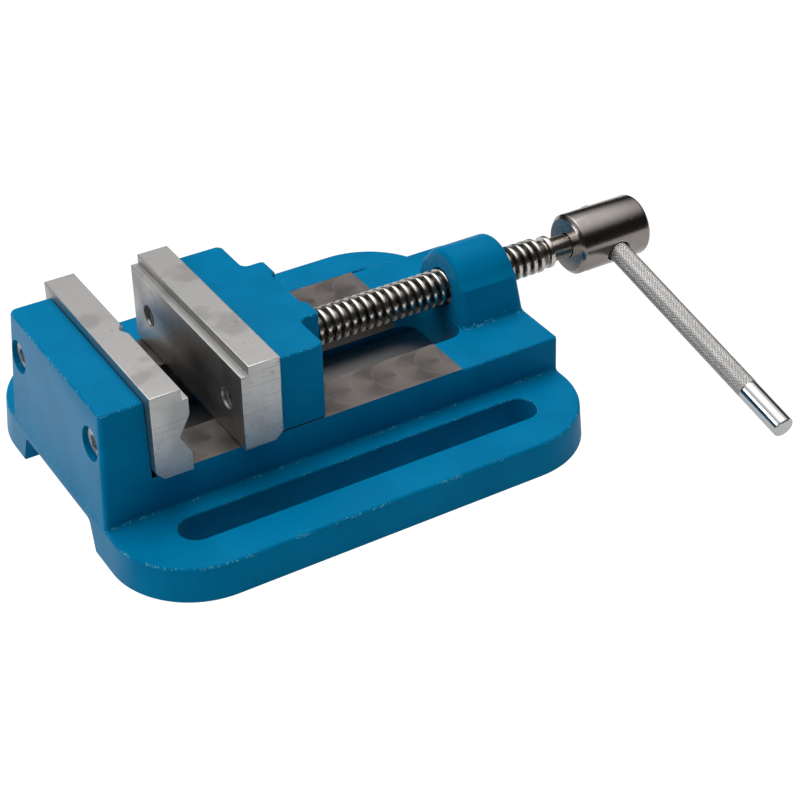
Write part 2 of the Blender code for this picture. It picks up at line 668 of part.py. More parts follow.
def handle_bar():
    """Tommy bar: knurled for most of its length, smooth at the free end."""
    smooth_r = HANDLE_R - 0.2
    knurl_end = HANDLE_NEAR - HANDLE_SMOOTH
    bar = turned([(-HANDLE_FAR, smooth_r - 1.6), (0.5 - HANDLE_FAR, smooth_r - 0.6), (1.3 - HANDLE_FAR, smooth_r),
                  (1.7 - HANDLE_FAR, HANDLE_R), (knurl_end, HANDLE_R), (knurl_end + 0.4, smooth_r),
                  (HANDLE_NEAR - 0.5, smooth_r), (HANDLE_NEAR, smooth_r - 0.5)], 32)
    obj = to_object("handle_bar", place(bar, across(handle_axis(), HANDLE_X)), (HANDLE_X, 0, SCREW_Z))
    return dress(obj, (NICKEL, 0.3, 1.0))


# ---------------------------------------------------------------- assembly

def centre_on_base():
    """Shift the vise so its bounding box stands centred on the world origin."""
    bpy.context.view_layer.update()
    corners = [obj.matrix_world @ vert.co for obj in bpy.data.objects if obj.type == 'MESH'
               for vert in obj.data.vertices]
    low = Vector([min(co[i] for co in corners) for i in range(3)])
    high = Vector([max(co[i] for co in corners) for i in range(3)])
    shift = Vector(((low.x + high.x) / 2, (low.y + high.y) / 2, low.z))
    for obj in bpy.data.objects:
        obj.location -= shift
    return shift


def main():
    """Build the vise piece by piece."""
    clear_scene()
    base_casting()
    fixed_jaw_plate()
    moving_jaw_plate()
    moving_jaw_casting()
    guide_plate()
    thrust_disc()
    for side, sign in (("near", -1), ("far", 1)):
        y = sign * JAW_SCREW_Y
        fixed, moving = FIXED_SEAT - GAP, MOVING_SEAT + GAP
        jaw_screw(f"fixed_jaw_screw_{side}", fixed - M8_HEAD, fixed, 9.5, y, ZINC)
        jaw_screw(f"moving_jaw_screw_{side}", moving + M8_HEAD, moving, 44.0, y, BLACK_STEEL)
        retaining_pin(f"screw_retaining_pin_{side}", sign * PIN_Y)
        guide_bolt(f"guide_bolt_{side}", sign * GUIDE_BOLT[1])
        guide_washer(f"guide_washer_{side}", sign * GUIDE_BOLT[1])
    lead_screw()
    screw_hub()
    hub_pin()
    handle_grub_screw()
    handle_bar()
    centre_on_base()


if __name__ == "__main__":
    main()
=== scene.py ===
"""Looks for a low bench vise: enamelled castings, ground plates, bright screw and knurled bar.

Pieces are modelled in millimetres from one datum: X from the back of the fixed jaw
plate towards the handle, Y from the screw's axis, Z from the bench.
"""

from __future__ import annotations

import logging
import math
from collections.abc import Callable, Iterable, Sequence
from dataclasses import dataclass
from enum import Enum
from typing import Any

import bmesh
import bpy
from mathutils import Euler, Matrix, Vector


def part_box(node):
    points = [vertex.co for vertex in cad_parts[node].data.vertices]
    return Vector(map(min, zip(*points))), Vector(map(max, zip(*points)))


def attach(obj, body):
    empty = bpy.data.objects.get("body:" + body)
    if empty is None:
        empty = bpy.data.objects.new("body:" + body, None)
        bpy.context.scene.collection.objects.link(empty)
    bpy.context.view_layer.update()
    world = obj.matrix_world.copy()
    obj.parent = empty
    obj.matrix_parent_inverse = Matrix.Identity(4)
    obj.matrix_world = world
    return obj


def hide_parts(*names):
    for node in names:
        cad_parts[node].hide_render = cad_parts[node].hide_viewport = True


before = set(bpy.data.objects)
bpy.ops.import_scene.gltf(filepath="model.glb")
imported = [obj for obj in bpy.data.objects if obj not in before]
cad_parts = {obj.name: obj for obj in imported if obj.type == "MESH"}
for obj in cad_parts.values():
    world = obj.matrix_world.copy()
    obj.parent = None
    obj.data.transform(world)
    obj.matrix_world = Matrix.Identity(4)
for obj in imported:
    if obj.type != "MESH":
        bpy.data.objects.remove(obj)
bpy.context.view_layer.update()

LOG = logging.getLogger("vise")

# Millimetres, from the datum that the docstring above gives.
MM = 0.001
AXIS_HEIGHT = 42.9
JAW_SCREW_Y = 35.3
JAW_SCREW_Z = 49.5

# Sides of the screw: the bar points to the near one.
NEAR, FAR = -1, 1
SIDES = (NEAR, FAR)

# Degrees of bend above which an edge is rounded, on remade pieces and on small ones.
SHARP_BEND = 24.0
WORN_BEND = 40.0

Point = tuple[float, float, float]
Flat = tuple[float, float]
Colour = tuple[float, float, float, float]
Body = bmesh.types.BMesh

WHITE: Colour = (1.0, 1.0, 1.0, 1.0)


def datum() -> Vector:
    """Place of the millimetre datum in the frame, in metres.

    Returns:
        The fixed plate's back face in X, the screw's axis in Y and the bench in Z.
    """
    plate_low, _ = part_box("fixed_jaw_plate")
    screw_low, screw_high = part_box("lead_screw")
    base_low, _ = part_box("base_casting")
    return Vector((plate_low[0], (screw_low[1] + screw_high[1]) / 2, base_low[2]))


DATUM = datum()
TO_FRAME = Matrix.Translation(DATUM) @ Matrix.Scale(MM, 4)


# ------------------------------------------------------------------ shader maths


class Signal:
    """A number on its way through a shader, with ordinary arithmetic."""

    def __init__(self, graph: Tree, socket: bpy.types.NodeSocket) -> None:
        """Wrap a socket.

        Args:
            graph: The tree that the socket belongs to.
            socket: An output that carries one number.
        """
        self.graph = graph
        self.socket = socket

    def _math(self, operation: str, *values: Signal | float) -> Signal:
        """Add a Math node.

        Args:
            operation: The Math node's operation.
            values: Its inputs in order.

        Returns:
            The node's result.
        """
        node = self.graph.node("ShaderNodeMath", {"operation": operation}, dict(enumerate(values)))
        return Signal(self.graph, node.outputs[0])

    def __add__(self, other: Signal | float) -> Signal:
        """Sum."""
        return self._math("ADD", self, other)

    __radd__ = __add__

    def __sub__(self, other: Signal | float) -> Signal:
        """Difference."""
        return self._math("SUBTRACT", self, other)

    def __rsub__(self, other: float) -> Signal:
        """Difference from a plain number."""
        return self._math("SUBTRACT", other, self)

    def __mul__(self, other: Signal | float) -> Signal:
        """Product."""
        return self._math("MULTIPLY", self, other)

    __rmul__ = __mul__

    def __truediv__(self, other: Signal | float) -> Signal:
        """Quotient."""
        return self._math("DIVIDE", self, other)

    def floor(self) -> Signal:
        """Whole part."""
        return self._math("FLOOR", self)

    def sine(self) -> Signal:
        """Sine."""
        return self._math("SINE", self)

    def arctan2(self, other: Signal) -> Signal:
        """Angle whose tangent is self over other."""
        return self._math("ARCTAN2", self, other)

    def root(self) -> Signal:
        """Square root, with 0 below 0."""
        return self._math("SQRT", self._math("MAXIMUM", self, 0.0))

    def ramp(self, low: float, high: float) -> Signal:
        """Smooth step.

        Args:
            low: Where the result is 0.
            high: Where the result is 1.

        Returns:
            A number from 0 to 1.
        """
        node = self.graph.node(
            "ShaderNodeMapRange",
            {"interpolation_type": "SMOOTHSTEP"},
            {"Value": self, "From Min": low, "From Max": high},
        )
        return Signal(self.graph, node.outputs[0])


class Tree:
    """A node tree that nodes are added to in one way."""

    def __init__(self, tree: bpy.types.NodeTree) -> None:
        """Take up a tree.

        Args:
            tree: The material's or the sky's node tree.
        """
        self.tree = tree

    def node(
        self,
        kind: str,
        settings: dict[str, Any] | None = None,
        values: dict[int | str, Any] | None = None,
    ) -> bpy.types.Node:
        """Add a node.

        Args:
            kind: The node's type name.
            settings: Properties that are set first.
            values: Socket values or links by the socket's name or place.

        Returns:
            The new node.
        """
        node = self.tree.nodes.new(kind)
        for key, value in (settings or {}).items():
            setattr(node, key, value)
        for key, value in (values or {}).items():
            self.feed(node.inputs[key], value)
        return node

    def feed(self, socket: bpy.types.NodeSocket, value: Any) -> None:
        """Set or link a socket.

        Args:
            socket: The input.
            value: A Signal, an output socket, or a plain value.
        """
        if isinstance(value, Signal):
            value = value.socket
        if isinstance(value, bpy.types.NodeSocket):
            self.tree.links.new(value, socket)
        else:
            socket.default_value = value


class Graph(Tree):
    """A material's node tree with one Principled shader."""

    def __init__(self, name: str) -> None:
        """Make an empty material.

        Args:
            name: The finish's name.
        """
        self.material = bpy.data.materials.new(name)
        self.material.use_nodes = True
        super().__init__(self.material.node_tree)
        self.tree.nodes.clear()
        self.shader = self.node("ShaderNodeBsdfPrincipled")
        self.output = self.node("ShaderNodeOutputMaterial", values={0: self.shader.outputs[0]})
        self.place = self.node("ShaderNodeTexCoord")

    def surface(self, **values: Any) -> None:
        """Feed the Principled shader.

        Args:
            values: Socket names, with _ for a space, and what they get.
        """
        for key, value in values.items():
            self.feed(self.shader.inputs[key.replace("_", " ")], value)

    def axes(self, vector: bpy.types.NodeSocket | None = None) -> list[Signal]:
        """Split a vector.

        Args:
            vector: The vector, or None for the place on the piece.

        Returns:
            Its X, Y and Z.
        """
        source = self.place.outputs["Object"] if vector is None else vector
        node = self.node("ShaderNodeSeparateXYZ", values={0: source})
        return [Signal(self, node.outputs[i]) for i in range(3)]

    def millimetres(self) -> list[Signal]:
        """Place on the piece in millimetres from the datum."""
        return [(axis - start) / MM for axis, start in zip(self.axes(), DATUM)]

    def noise(self, scale: Point | float, detail: float = 2.0) -> Signal:
        """Soft random field.

        Args:
            scale: Cells in a metre, the same along every axis or for each.
            detail: How many finer layers are added.

        Returns:
            A number about 0.5.
        """
        each = scale if isinstance(scale, tuple) else (scale, scale, scale)
        stretched = self.node(
            "ShaderNodeVectorMath",
            {"operation": "MULTIPLY"},
            {0: self.place.outputs["Object"], 1: each},
        )
        node = self.node(
            "ShaderNodeTexNoise",
            {"noise_dimensions": "3D"},
            {"Vector": stretched.outputs[0], "Scale": 1.0, "Detail": detail, "Roughness": 0.55},
        )
        return Signal(self, node.outputs["Fac"])

    def streaks(self, scale: Point, slant: float, detail: float = 3.0) -> Signal:
        """Random field drawn out along one slanting direction.

        Args:
            scale: Cells in a metre along each turned axis.
            slant: Turn about Y in radians.
            detail: How many finer layers are added.

        Returns:
            A number about 0.5.
        """
        values = {"Vector": self.place.outputs["Object"], "Rotation": (0.0, slant, 0.0),
                  "Scale": scale}
        turned_place = self.node("ShaderNodeMapping", values=values)
        values = {"Vector": turned_place.outputs[0], "Scale": 1.0, "Detail": detail}
        return Signal(self, self.node("ShaderNodeTexNoise", values=values).outputs["Fac"])

    def blend(self, share: Signal | float, first: Any, second: Any) -> bpy.types.NodeSocket:
        """Mix two colours.

        Args:
            share: How much of the second colour shows.
            first: Colour or link.
            second: Colour or link.

        Returns:
            The mixed colour.
        """
        node = self.node("ShaderNodeMix", {"data_type": "RGBA"}, {0: share, 6: first, 7: second})
        return node.outputs[2]

    def bump(self, height: Signal, depth_mm: float, strength: float = 1.0) -> bpy.types.NodeSocket:
        """Normal for a height.

        Args:
            height: Height from 0 to 1.
            depth_mm: What a height of 1 stands for.
            strength: Share of the effect.

        Returns:
            The bent normal.
        """
        values = {"Height": height, "Distance": depth_mm * MM, "Strength": strength}
        return self.node("ShaderNodeBump", values=values).outputs[0]

    def edges(self, reach_mm: float, low: float, high: float) -> Signal:
        """Mask of the places near an edge.

        Args:
            reach_mm: How far from an edge the mask starts.
            low: Bend at which the mask is 0.
            high: Bend at which the mask is 1.

        Returns:
            1 on edges and 0 on open faces.
        """
        rounded = self.node("ShaderNodeBevel", {"samples": 6}, {"Radius": reach_mm * MM})
        flat = self.node("ShaderNodeNewGeometry")
        dot = self.node(
            "ShaderNodeVectorMath",
            {"operation": "DOT_PRODUCT"},
            {0: rounded.outputs[0], 1: flat.outputs["Normal"]},
        )
        return (1.0 - Signal(self, dot.outputs["Value"])).ramp(low, high)


# ---------------------------------------------------------------------- finishes


@dataclass(frozen=True)
class Enamel:
    """Blue enamel on a sand casting, with painted glints along its rounded edges."""

    name: str
    polished_end: bool = False
    colour: Colour = (0.0, 0.205, 0.42, 1.0)
    shade: Colour = (0.0, 0.180, 0.375, 1.0)
    sheen_tint: Colour = (0.0, 0.55, 0.85, 1.0)
    # Painted glints: light blue mixed into the enamel along rounded edges, its share, and the X and
    # height on the nut boss above which none are painted.
    glint_colour: Colour = (0.12, 0.46, 0.62, 1.0)
    glint_share: float = 0.75
    glintless_boss: Flat = (150.0, 36.0)
    polish: float = 0.32
    roughness: float = 0.30
    sheen: float = 0.05
    lump_mm: float = 0.22

    def material(self) -> bpy.types.Material:
        """Build the enamel.

        Returns:
            The material.
        """
        graph = Graph(self.name)
        cloud = graph.noise(55.0, 3.0).ramp(0.3, 0.7)
        colour = graph.blend(cloud, self.colour, self.shade)
        facing, _, upward = graph.axes(graph.place.outputs["Normal"])
        film = (0.0 - facing).ramp(0.9, 0.99) * self.polish if self.polished_end else 0.0
        # Painted glints: light blue mixed in along rounded edges, standing in for highlights; they
        # also raise small bumps.
        glint = self.painted_glints(graph, upward)
        colour = graph.blend(glint * self.glint_share, colour, self.glint_colour)
        peel = graph.noise(620.0, 2.0)
        wave = graph.noise(95.0, 2.0)
        height = peel * 0.35 + wave * 0.9 + glint * 0.5
        graph.surface(
            Base_Color=colour,
            Roughness=self.roughness + 0.16 * peel,
            Normal=graph.bump(height, self.lump_mm, 0.55),
            Specular_IOR_Level=self.sheen,
            Specular_Tint=self.sheen_tint,
            Coat_Weight=film,
            Coat_Roughness=0.25,
        )
        return graph.material

    def painted_glints(self, graph: Graph, upward: Signal) -> Signal:
        """Mask of the painted glints on rounded edges.

        Args:
            graph: The material's graph.
            upward: Upward part of the surface's direction.

        Returns:
            1 on painted glints, with none on the nut boss above its foot.
        """
        grit = graph.noise(1100.0, 1.0)
        turning = upward.ramp(0.15, 0.4) * (1.0 - upward.ramp(0.8, 0.95))
        glint = turning * grit.ramp(0.54, 0.64) * graph.noise(120.0, 1.0).ramp(0.46, 0.56)
        along, _, rise = graph.millimetres()
        start, foot = self.glintless_boss
        return glint * (1.0 - along.ramp(start, start + 1.0) * rise.ramp(foot, foot + 0.8))


@dataclass(frozen=True)
class GroundSteel:
    """Steel ground on a surface grinder, with a soft cloudy film."""

    name: str
    colour: Colour = (0.55, 0.54, 0.525, 1.0)
    film: Colour = (0.40, 0.395, 0.388, 1.0)
    scratched: Colour = (0.20, 0.195, 0.19, 1.0)
    pitted: Colour = (0.12, 0.11, 0.10, 1.0)
    worn_edge: Colour = (0.85, 0.85, 0.83, 1.0)
    lines: Point = (900.0, 14.0, 900.0)
    scratches: Point = (45.0, 45.0, 1500.0)
    slant: float = 0.7
    roughness: float = 0.30

    def material(self) -> bpy.types.Material:
        """Build the ground steel.

        Returns:
            The material.
        """
        graph = Graph(self.name)
        cloud = graph.noise(42.0, 4.0).ramp(0.32, 0.68)
        grain = graph.noise(self.lines, 2.0)
        scratch = graph.streaks(self.scratches, self.slant).ramp(0.56, 0.68)
        pits = graph.noise(700.0, 1.0).ramp(0.66, 0.74) * graph.noise(60.0, 1.0).ramp(0.5, 0.62)
        colour = graph.blend(cloud * 0.7 + 0.3 * grain, self.colour, self.film)
        colour = graph.blend(scratch * 0.35, colour, self.scratched)
        colour = graph.blend(pits * 0.6, colour, self.pitted)
        colour = graph.blend(graph.edges(0.35, 0.02, 0.12) * 0.7, colour, self.worn_edge)
        graph.surface(
            Base_Color=colour,
            Metallic=1.0,
            Roughness=self.roughness + 0.14 * cloud + 0.10 * grain,
            Normal=graph.bump(grain - scratch * 0.5, 0.02, 0.35),
        )
        return graph.material


@dataclass(frozen=True)
class ScouredRail:
    """Iron rails finished with a row of overlapping round scouring marks."""

    name: str
    centre_mm: float
    pitch_mm: float = 10.6
    radius_mm: float = 10.8
    light: Colour = (0.195, 0.175, 0.163, 1.0)
    dark: Colour = (0.085, 0.075, 0.069, 1.0)

    def material(self) -> bpy.types.Material:
        """Build the rails' finish.

        Returns:
            The material.
        """
        graph = Graph(self.name)
        along, side, _ = graph.millimetres()
        off = (side * side).root() - self.centre_mm
        reach = (self.radius_mm**2 - off * off).root()
        mark = ((along + reach) / self.pitch_mm).floor() * self.pitch_mm
        ahead = along - mark
        distance = (ahead * ahead + off * off).root()
        swing = off.arctan2(ahead)
        sheen = (swing * 2.0 + mark * 0.9).sine() * 0.5 + 0.5
        rings = (distance * 9.0 + graph.noise(300.0, 1.0) * 2.5).sine() * 0.5 + 0.5
        rim = (distance / self.radius_mm).ramp(0.86, 1.0)
        cloud = graph.noise(70.0, 3.0).ramp(0.3, 0.7)
        share = sheen * 0.55 + rings * 0.12 + rim * 0.2 + cloud * 0.25
        graph.surface(
            Base_Color=graph.blend(share, self.dark, self.light),
            Metallic=0.85,
            Roughness=0.36 + 0.14 * sheen + 0.08 * cloud,
            Normal=graph.bump(rings * 0.5 + rim, 0.02, 0.4),
        )
        return graph.material


@dataclass(frozen=True)
class TurnedSteel:
    """Bright turned steel, with painted shade where the surface lies deep."""

    name: str
    colour: Colour = (0.66, 0.63, 0.58, 1.0)
    # Near-black colour that paints shade in the thread's roots and flanks.
    hollow_shade: Colour = (0.035, 0.031, 0.025, 1.0)
    root_mm: float = 6.5
    crest_mm: float = 7.85
    # X span over which the painted shade fades out before the collar.
    unshaded_from: Flat = (212.6, 213.8)
    roughness: float = 0.17

    def material(self) -> bpy.types.Material:
        """Build the screw's steel.

        Returns:
            The material.
        """
        graph = Graph(self.name)
        along, across, rise = graph.millimetres()
        above = rise - AXIS_HEIGHT
        radius = (across * across + above * above).root()
        thread = radius.ramp(self.root_mm, self.crest_mm)
        film = graph.noise(240.0, 2.0).ramp(0.35, 0.65)
        before_collar = 1.0 - along.ramp(*self.unshaded_from)
        # Painted shade: the colour darkens towards near-black where the radius lies below the
        # crests, mottled by noise, with none from the collar on.
        hollow_shade = (1.0 - thread) * (0.6 + 0.35 * film) * before_collar
        grain = graph.noise((2600.0, 90.0, 90.0), 1.0)
        graph.surface(
            Base_Color=graph.blend(hollow_shade, self.colour, self.hollow_shade),
            Metallic=1.0,
            Roughness=self.roughness + 0.16 * hollow_shade + 0.08 * grain,
            Normal=graph.bump(grain, 0.015, 0.3),
        )
        return graph.material


@dataclass(frozen=True)
class SatinNickel:
    """Satin nickel over turned steel, with fine rings around the axis."""

    name: str
    colour: Colour
    warm: Colour
    roughness: float
    lines: Point = (3200.0, 30.0, 30.0)
    worn_edge: Colour = (0.9, 0.88, 0.85, 1.0)

    def material(self) -> bpy.types.Material:
        """Build the nickel.

        Returns:
            The material.
        """
        graph = Graph(self.name)
        rings = graph.noise(self.lines, 2.0)
        cloud = graph.noise(85.0, 3.0).ramp(0.35, 0.7)
        nick = graph.noise(420.0, 1.0).ramp(0.68, 0.74)
        colour = graph.blend(cloud * 0.6 + rings * 0.3, self.colour, self.warm)
        colour = graph.blend(graph.edges(0.4, 0.02, 0.12), colour, self.worn_edge)
        graph.surface(
            Base_Color=colour,
            Metallic=1.0,
            Roughness=self.roughness + 0.12 * rings + 0.1 * nick,
            Normal=graph.bump(rings + nick * 0.5, 0.012, 0.4),
        )
        return graph.material


@dataclass(frozen=True)
class PlainMetal:
    """Small hardware with a plated or blackened skin."""

    name: str
    colour: Colour
    worn: Colour
    roughness: float = 0.32

    def material(self) -> bpy.types.Material:
        """Build the hardware's metal.

        Returns:
            The material.
        """
        graph = Graph(self.name)
        cloud = graph.noise(180.0, 3.0).ramp(0.35, 0.7)
        edge = graph.edges(0.3, 0.02, 0.15)
        grain = graph.noise(1300.0, 1.0)
        colour = graph.blend(cloud * 0.4 + edge * 0.6, self.colour, self.worn)
        graph.surface(
            Base_Color=colour,
            Metallic=1.0,
            Roughness=self.roughness + 0.15 * cloud,
            Normal=graph.bump(grain, 0.02, 0.3),
        )
        return graph.material


class Hardware(Enum):
    """Plain metals that small pieces come in."""

    BLACK = ("black_oxide", (0.05, 0.05, 0.052, 1.0), (0.22, 0.21, 0.20, 1.0))
    ZINC = ("zinc_plate", (0.60, 0.61, 0.63, 1.0), (0.78, 0.78, 0.78, 1.0))
    DOWEL = ("ground_dowel", (0.50, 0.49, 0.47, 1.0), (0.72, 0.71, 0.69, 1.0))
    IRON = ("machined_iron", (0.16, 0.15, 0.142, 1.0), (0.30, 0.29, 0.28, 1.0))

    def finish(self) -> PlainMetal:
        """The finish for this choice."""
        return PlainMetal(*self.value)


# ------------------------------------------------------------------ mesh helpers


def loft(rings: Iterable[Sequence[Point]]) -> Body:
    """Closed body through rings of equal count.

    Args:
        rings: The rings from one end to the other.

    Returns:
        The body, capped at both ends.
    """
    bm = bmesh.new()
    rows = [[bm.verts.new(point) for point in ring] for ring in rings]
    count = len(rows[0])
    for lower, upper in zip(rows, rows[1:]):
        for i in range(count):
            j = (i + 1) % count
            bm.faces.new((lower[i], lower[j], upper[j], upper[i]))
    bm.faces.new(list(reversed(rows[0])))
    bm.faces.new(rows[-1])
    bmesh.ops.recalc_face_normals(bm, faces=bm.faces)
    return bm


def prism_z(outline: Sequence[Flat], low: float, high: float) -> Body:
    """Upright prism.

    Args:
        outline: Points in X and Y.
        low: Bottom height.
        high: Top height.

    Returns:
        The body.
    """
    return loft([[(x, y, z) for x, y in outline] for z in (low, high)])


def prism_y(outline: Sequence[Flat], half: float) -> Body:
    """Prism across the vise.

    Args:
        outline: Points in X and Z.
        half: Half its width.

    Returns:
        The body.
    """
    return loft([[(x, y, z) for x, z in outline] for y in (-half, half)])


def prism_x(outline: Sequence[Flat], start: float, end: float) -> Body:
    """Prism along the vise.

    Args:
        outline: Points in Y and Z.
        start: First X.
        end: Last X.

    Returns:
        The body.
    """
    return loft([[(x, y, z) for y, z in outline] for x in (start, end)])


def block(low: Point, high: Point) -> Body:
    """Block between two corners.

    Args:
        low: Lowest corner.
        high: Highest corner.

    Returns:
        The body.
    """
    corners = [(low[0], low[1]), (high[0], low[1]), (high[0], high[1]), (low[0], high[1])]
    return prism_z(corners, low[2], high[2])


def arc(centre: Flat, radius: float, start: float, end: float, steps: int) -> list[Flat]:
    """Points on an arc.

    Args:
        centre: Its centre.
        radius: Its radius.
        start: First angle in degrees.
        end: Last angle in degrees.
        steps: How many chords.

    Returns:
        The points.
    """
    points = []
    for i in range(steps + 1):
        angle = math.radians(start + (end - start) * i / steps)
        points.append((centre[0] + radius * math.cos(angle), centre[1] + radius * math.sin(angle)))
    return points


def around(x: float, radii: Sequence[float], sides: int) -> list[Point]:
    """Points around the X axis.

    Args:
        x: Place along the axis.
        radii: Radii that take turns from point to point.
        sides: How many points.

    Returns:
        The points.
    """
    points = []
    for i in range(sides):
        angle = math.tau * i / sides
        radius = radii[i % len(radii)]
        points.append((x, radius * math.cos(angle), radius * math.sin(angle)))
    return points


def turned(sections: Iterable[Flat], sides: int) -> Body:
    """Body turned about X.

    Args:
        sections: Pairs of X and radius.
        sides: Facets around.

    Returns:
        The body.
    """
    return loft([around(x, [radius], sides) for x, radius in sections])


def moved(bm: Body, matrix: Matrix) -> Body:
    """Move a body and hand it back.

    Args:
        bm: The body.
        matrix: Where it goes.

    Returns:
        The same body.
    """
    bm.transform(matrix)
    return bm


def at(x: float, y: float, z: float) -> Matrix:
    """Matrix that moves by a distance along each axis."""
    return Matrix.Translation((x, y, z))


def soften(
    bm: Body,
    width: float,
    chosen: Callable[[Vector, Vector], bool],
    segments: int = 3,
) -> Body:
    """Round some of a body's sharp edges.

    Args:
        bm: The body.
        width: How wide the rounding is.
        chosen: Says from its two ends whether an edge is rounded.
        segments: Facets across the rounding.

    Returns:
        The same body.
    """
    sharp = []
    for edge in bm.edges:
        bend = edge.calc_face_angle(0.0)
        if bend > math.radians(SHARP_BEND) and chosen(edge.verts[0].co, edge.verts[1].co):
            sharp.append(edge)
    bmesh.ops.bevel(
        bm, geom=sharp, offset=width, segments=segments, profile=0.5, affect="EDGES",
        clamp_overlap=True,
    )
    return bm


def every(_first: Vector, _second: Vector) -> bool:
    """Choose every edge."""
    return True


def to_mesh(name: str, bm: Body) -> bpy.types.Object:
    """Put a body into the scene, still in millimetres.

    Args:
        name: Its name.
        bm: The body, which is freed.

    Returns:
        The object.
    """
    mesh = bpy.data.meshes.new(name)
    bm.to_mesh(mesh)
    bm.free()
    obj = bpy.data.objects.new(name, mesh)
    bpy.context.scene.collection.objects.link(obj)
    return obj


def carve(
    target: bpy.types.Object, tools: Iterable[Body], joined: bool = False
) -> bpy.types.Object:
    """Cut bodies out of a piece or join them to it.

    Args:
        target: The piece.
        tools: The bodies.
        joined: True to join instead of cut.

    Returns:
        The piece with its new mesh.
    """
    helpers = []
    for index, tool in enumerate(tools):
        helper = to_mesh(f"tool_{index}", tool)
        modifier = target.modifiers.new(f"step_{index}", "BOOLEAN")
        modifier.operation = "UNION" if joined else "DIFFERENCE"
        modifier.solver = "EXACT"
        modifier.object = helper
        helpers.append(helper)
    bpy.context.view_layer.update()
    graph = bpy.context.evaluated_depsgraph_get()
    shaped = bpy.data.meshes.new_from_object(target.evaluated_get(graph))
    target.modifiers.clear()
    target.data = shaped
    for helper in helpers:
        bpy.data.objects.remove(helper, do_unlink=True)
    return target


def hand_over(
    obj: bpy.types.Object,
    body: str,
    materials: Sequence[bpy.types.Material],
    nodes: Sequence[str] = (),
    smooth_below: float = 32.0,
    finish_of: Sequence[int] = (),
) -> bpy.types.Object:
    """Move a finished piece into the frame, dress it and put it on its body.

    Args:
        obj: The piece, in millimetres.
        body: The CAD body that it rides on.
        materials: Its finishes, in slot order.
        nodes: CAD nodes that it stands for.
        smooth_below: Bends under this many degrees are shaded smooth.
        finish_of: Place in materials for each face, or nothing for the first.

    Returns:
        The piece.
    """
    obj.data.transform(TO_FRAME)
    obj.data.materials.clear()
    for material in materials:
        obj.data.materials.append(material)
    for face, finish in zip(obj.data.polygons, finish_of):
        face.material_index = finish
    obj.data.shade_smooth()
    obj.data.set_sharp_from_angle(angle=math.radians(smooth_below))
    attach(obj, body)
    if nodes:
        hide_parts(*nodes)
    LOG.info("%s: %d faces on %s", obj.name, len(obj.data.polygons), body)
    return obj


def dress_node(node: str, material: bpy.types.Material, edge_mm: float = 0.0) -> None:
    """Give a CAD node its finish, and rounded edges if it shows.

    Args:
        node: The node's name.
        material: Its finish.
        edge_mm: Width of the rounding on its edges, or 0.
    """
    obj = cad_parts[node]
    for slot in obj.material_slots:
        slot.material = material
    if edge_mm > 0.0:
        bevel = obj.modifiers.new("worn_edges", "BEVEL")
        bevel.width = edge_mm * MM
        bevel.segments = 2
        bevel.limit_method = "ANGLE"
        bevel.angle_limit = math.radians(WORN_BEND)
    LOG.info("%s dressed as %s", node, material.name)


# ---------------------------------------------------------------- sub-assemblies


class CastFinish(Enum):
    """Finishes of the base casting, in slot order."""

    ENAMEL = 0
    RAIL = 1
    WALL = 2


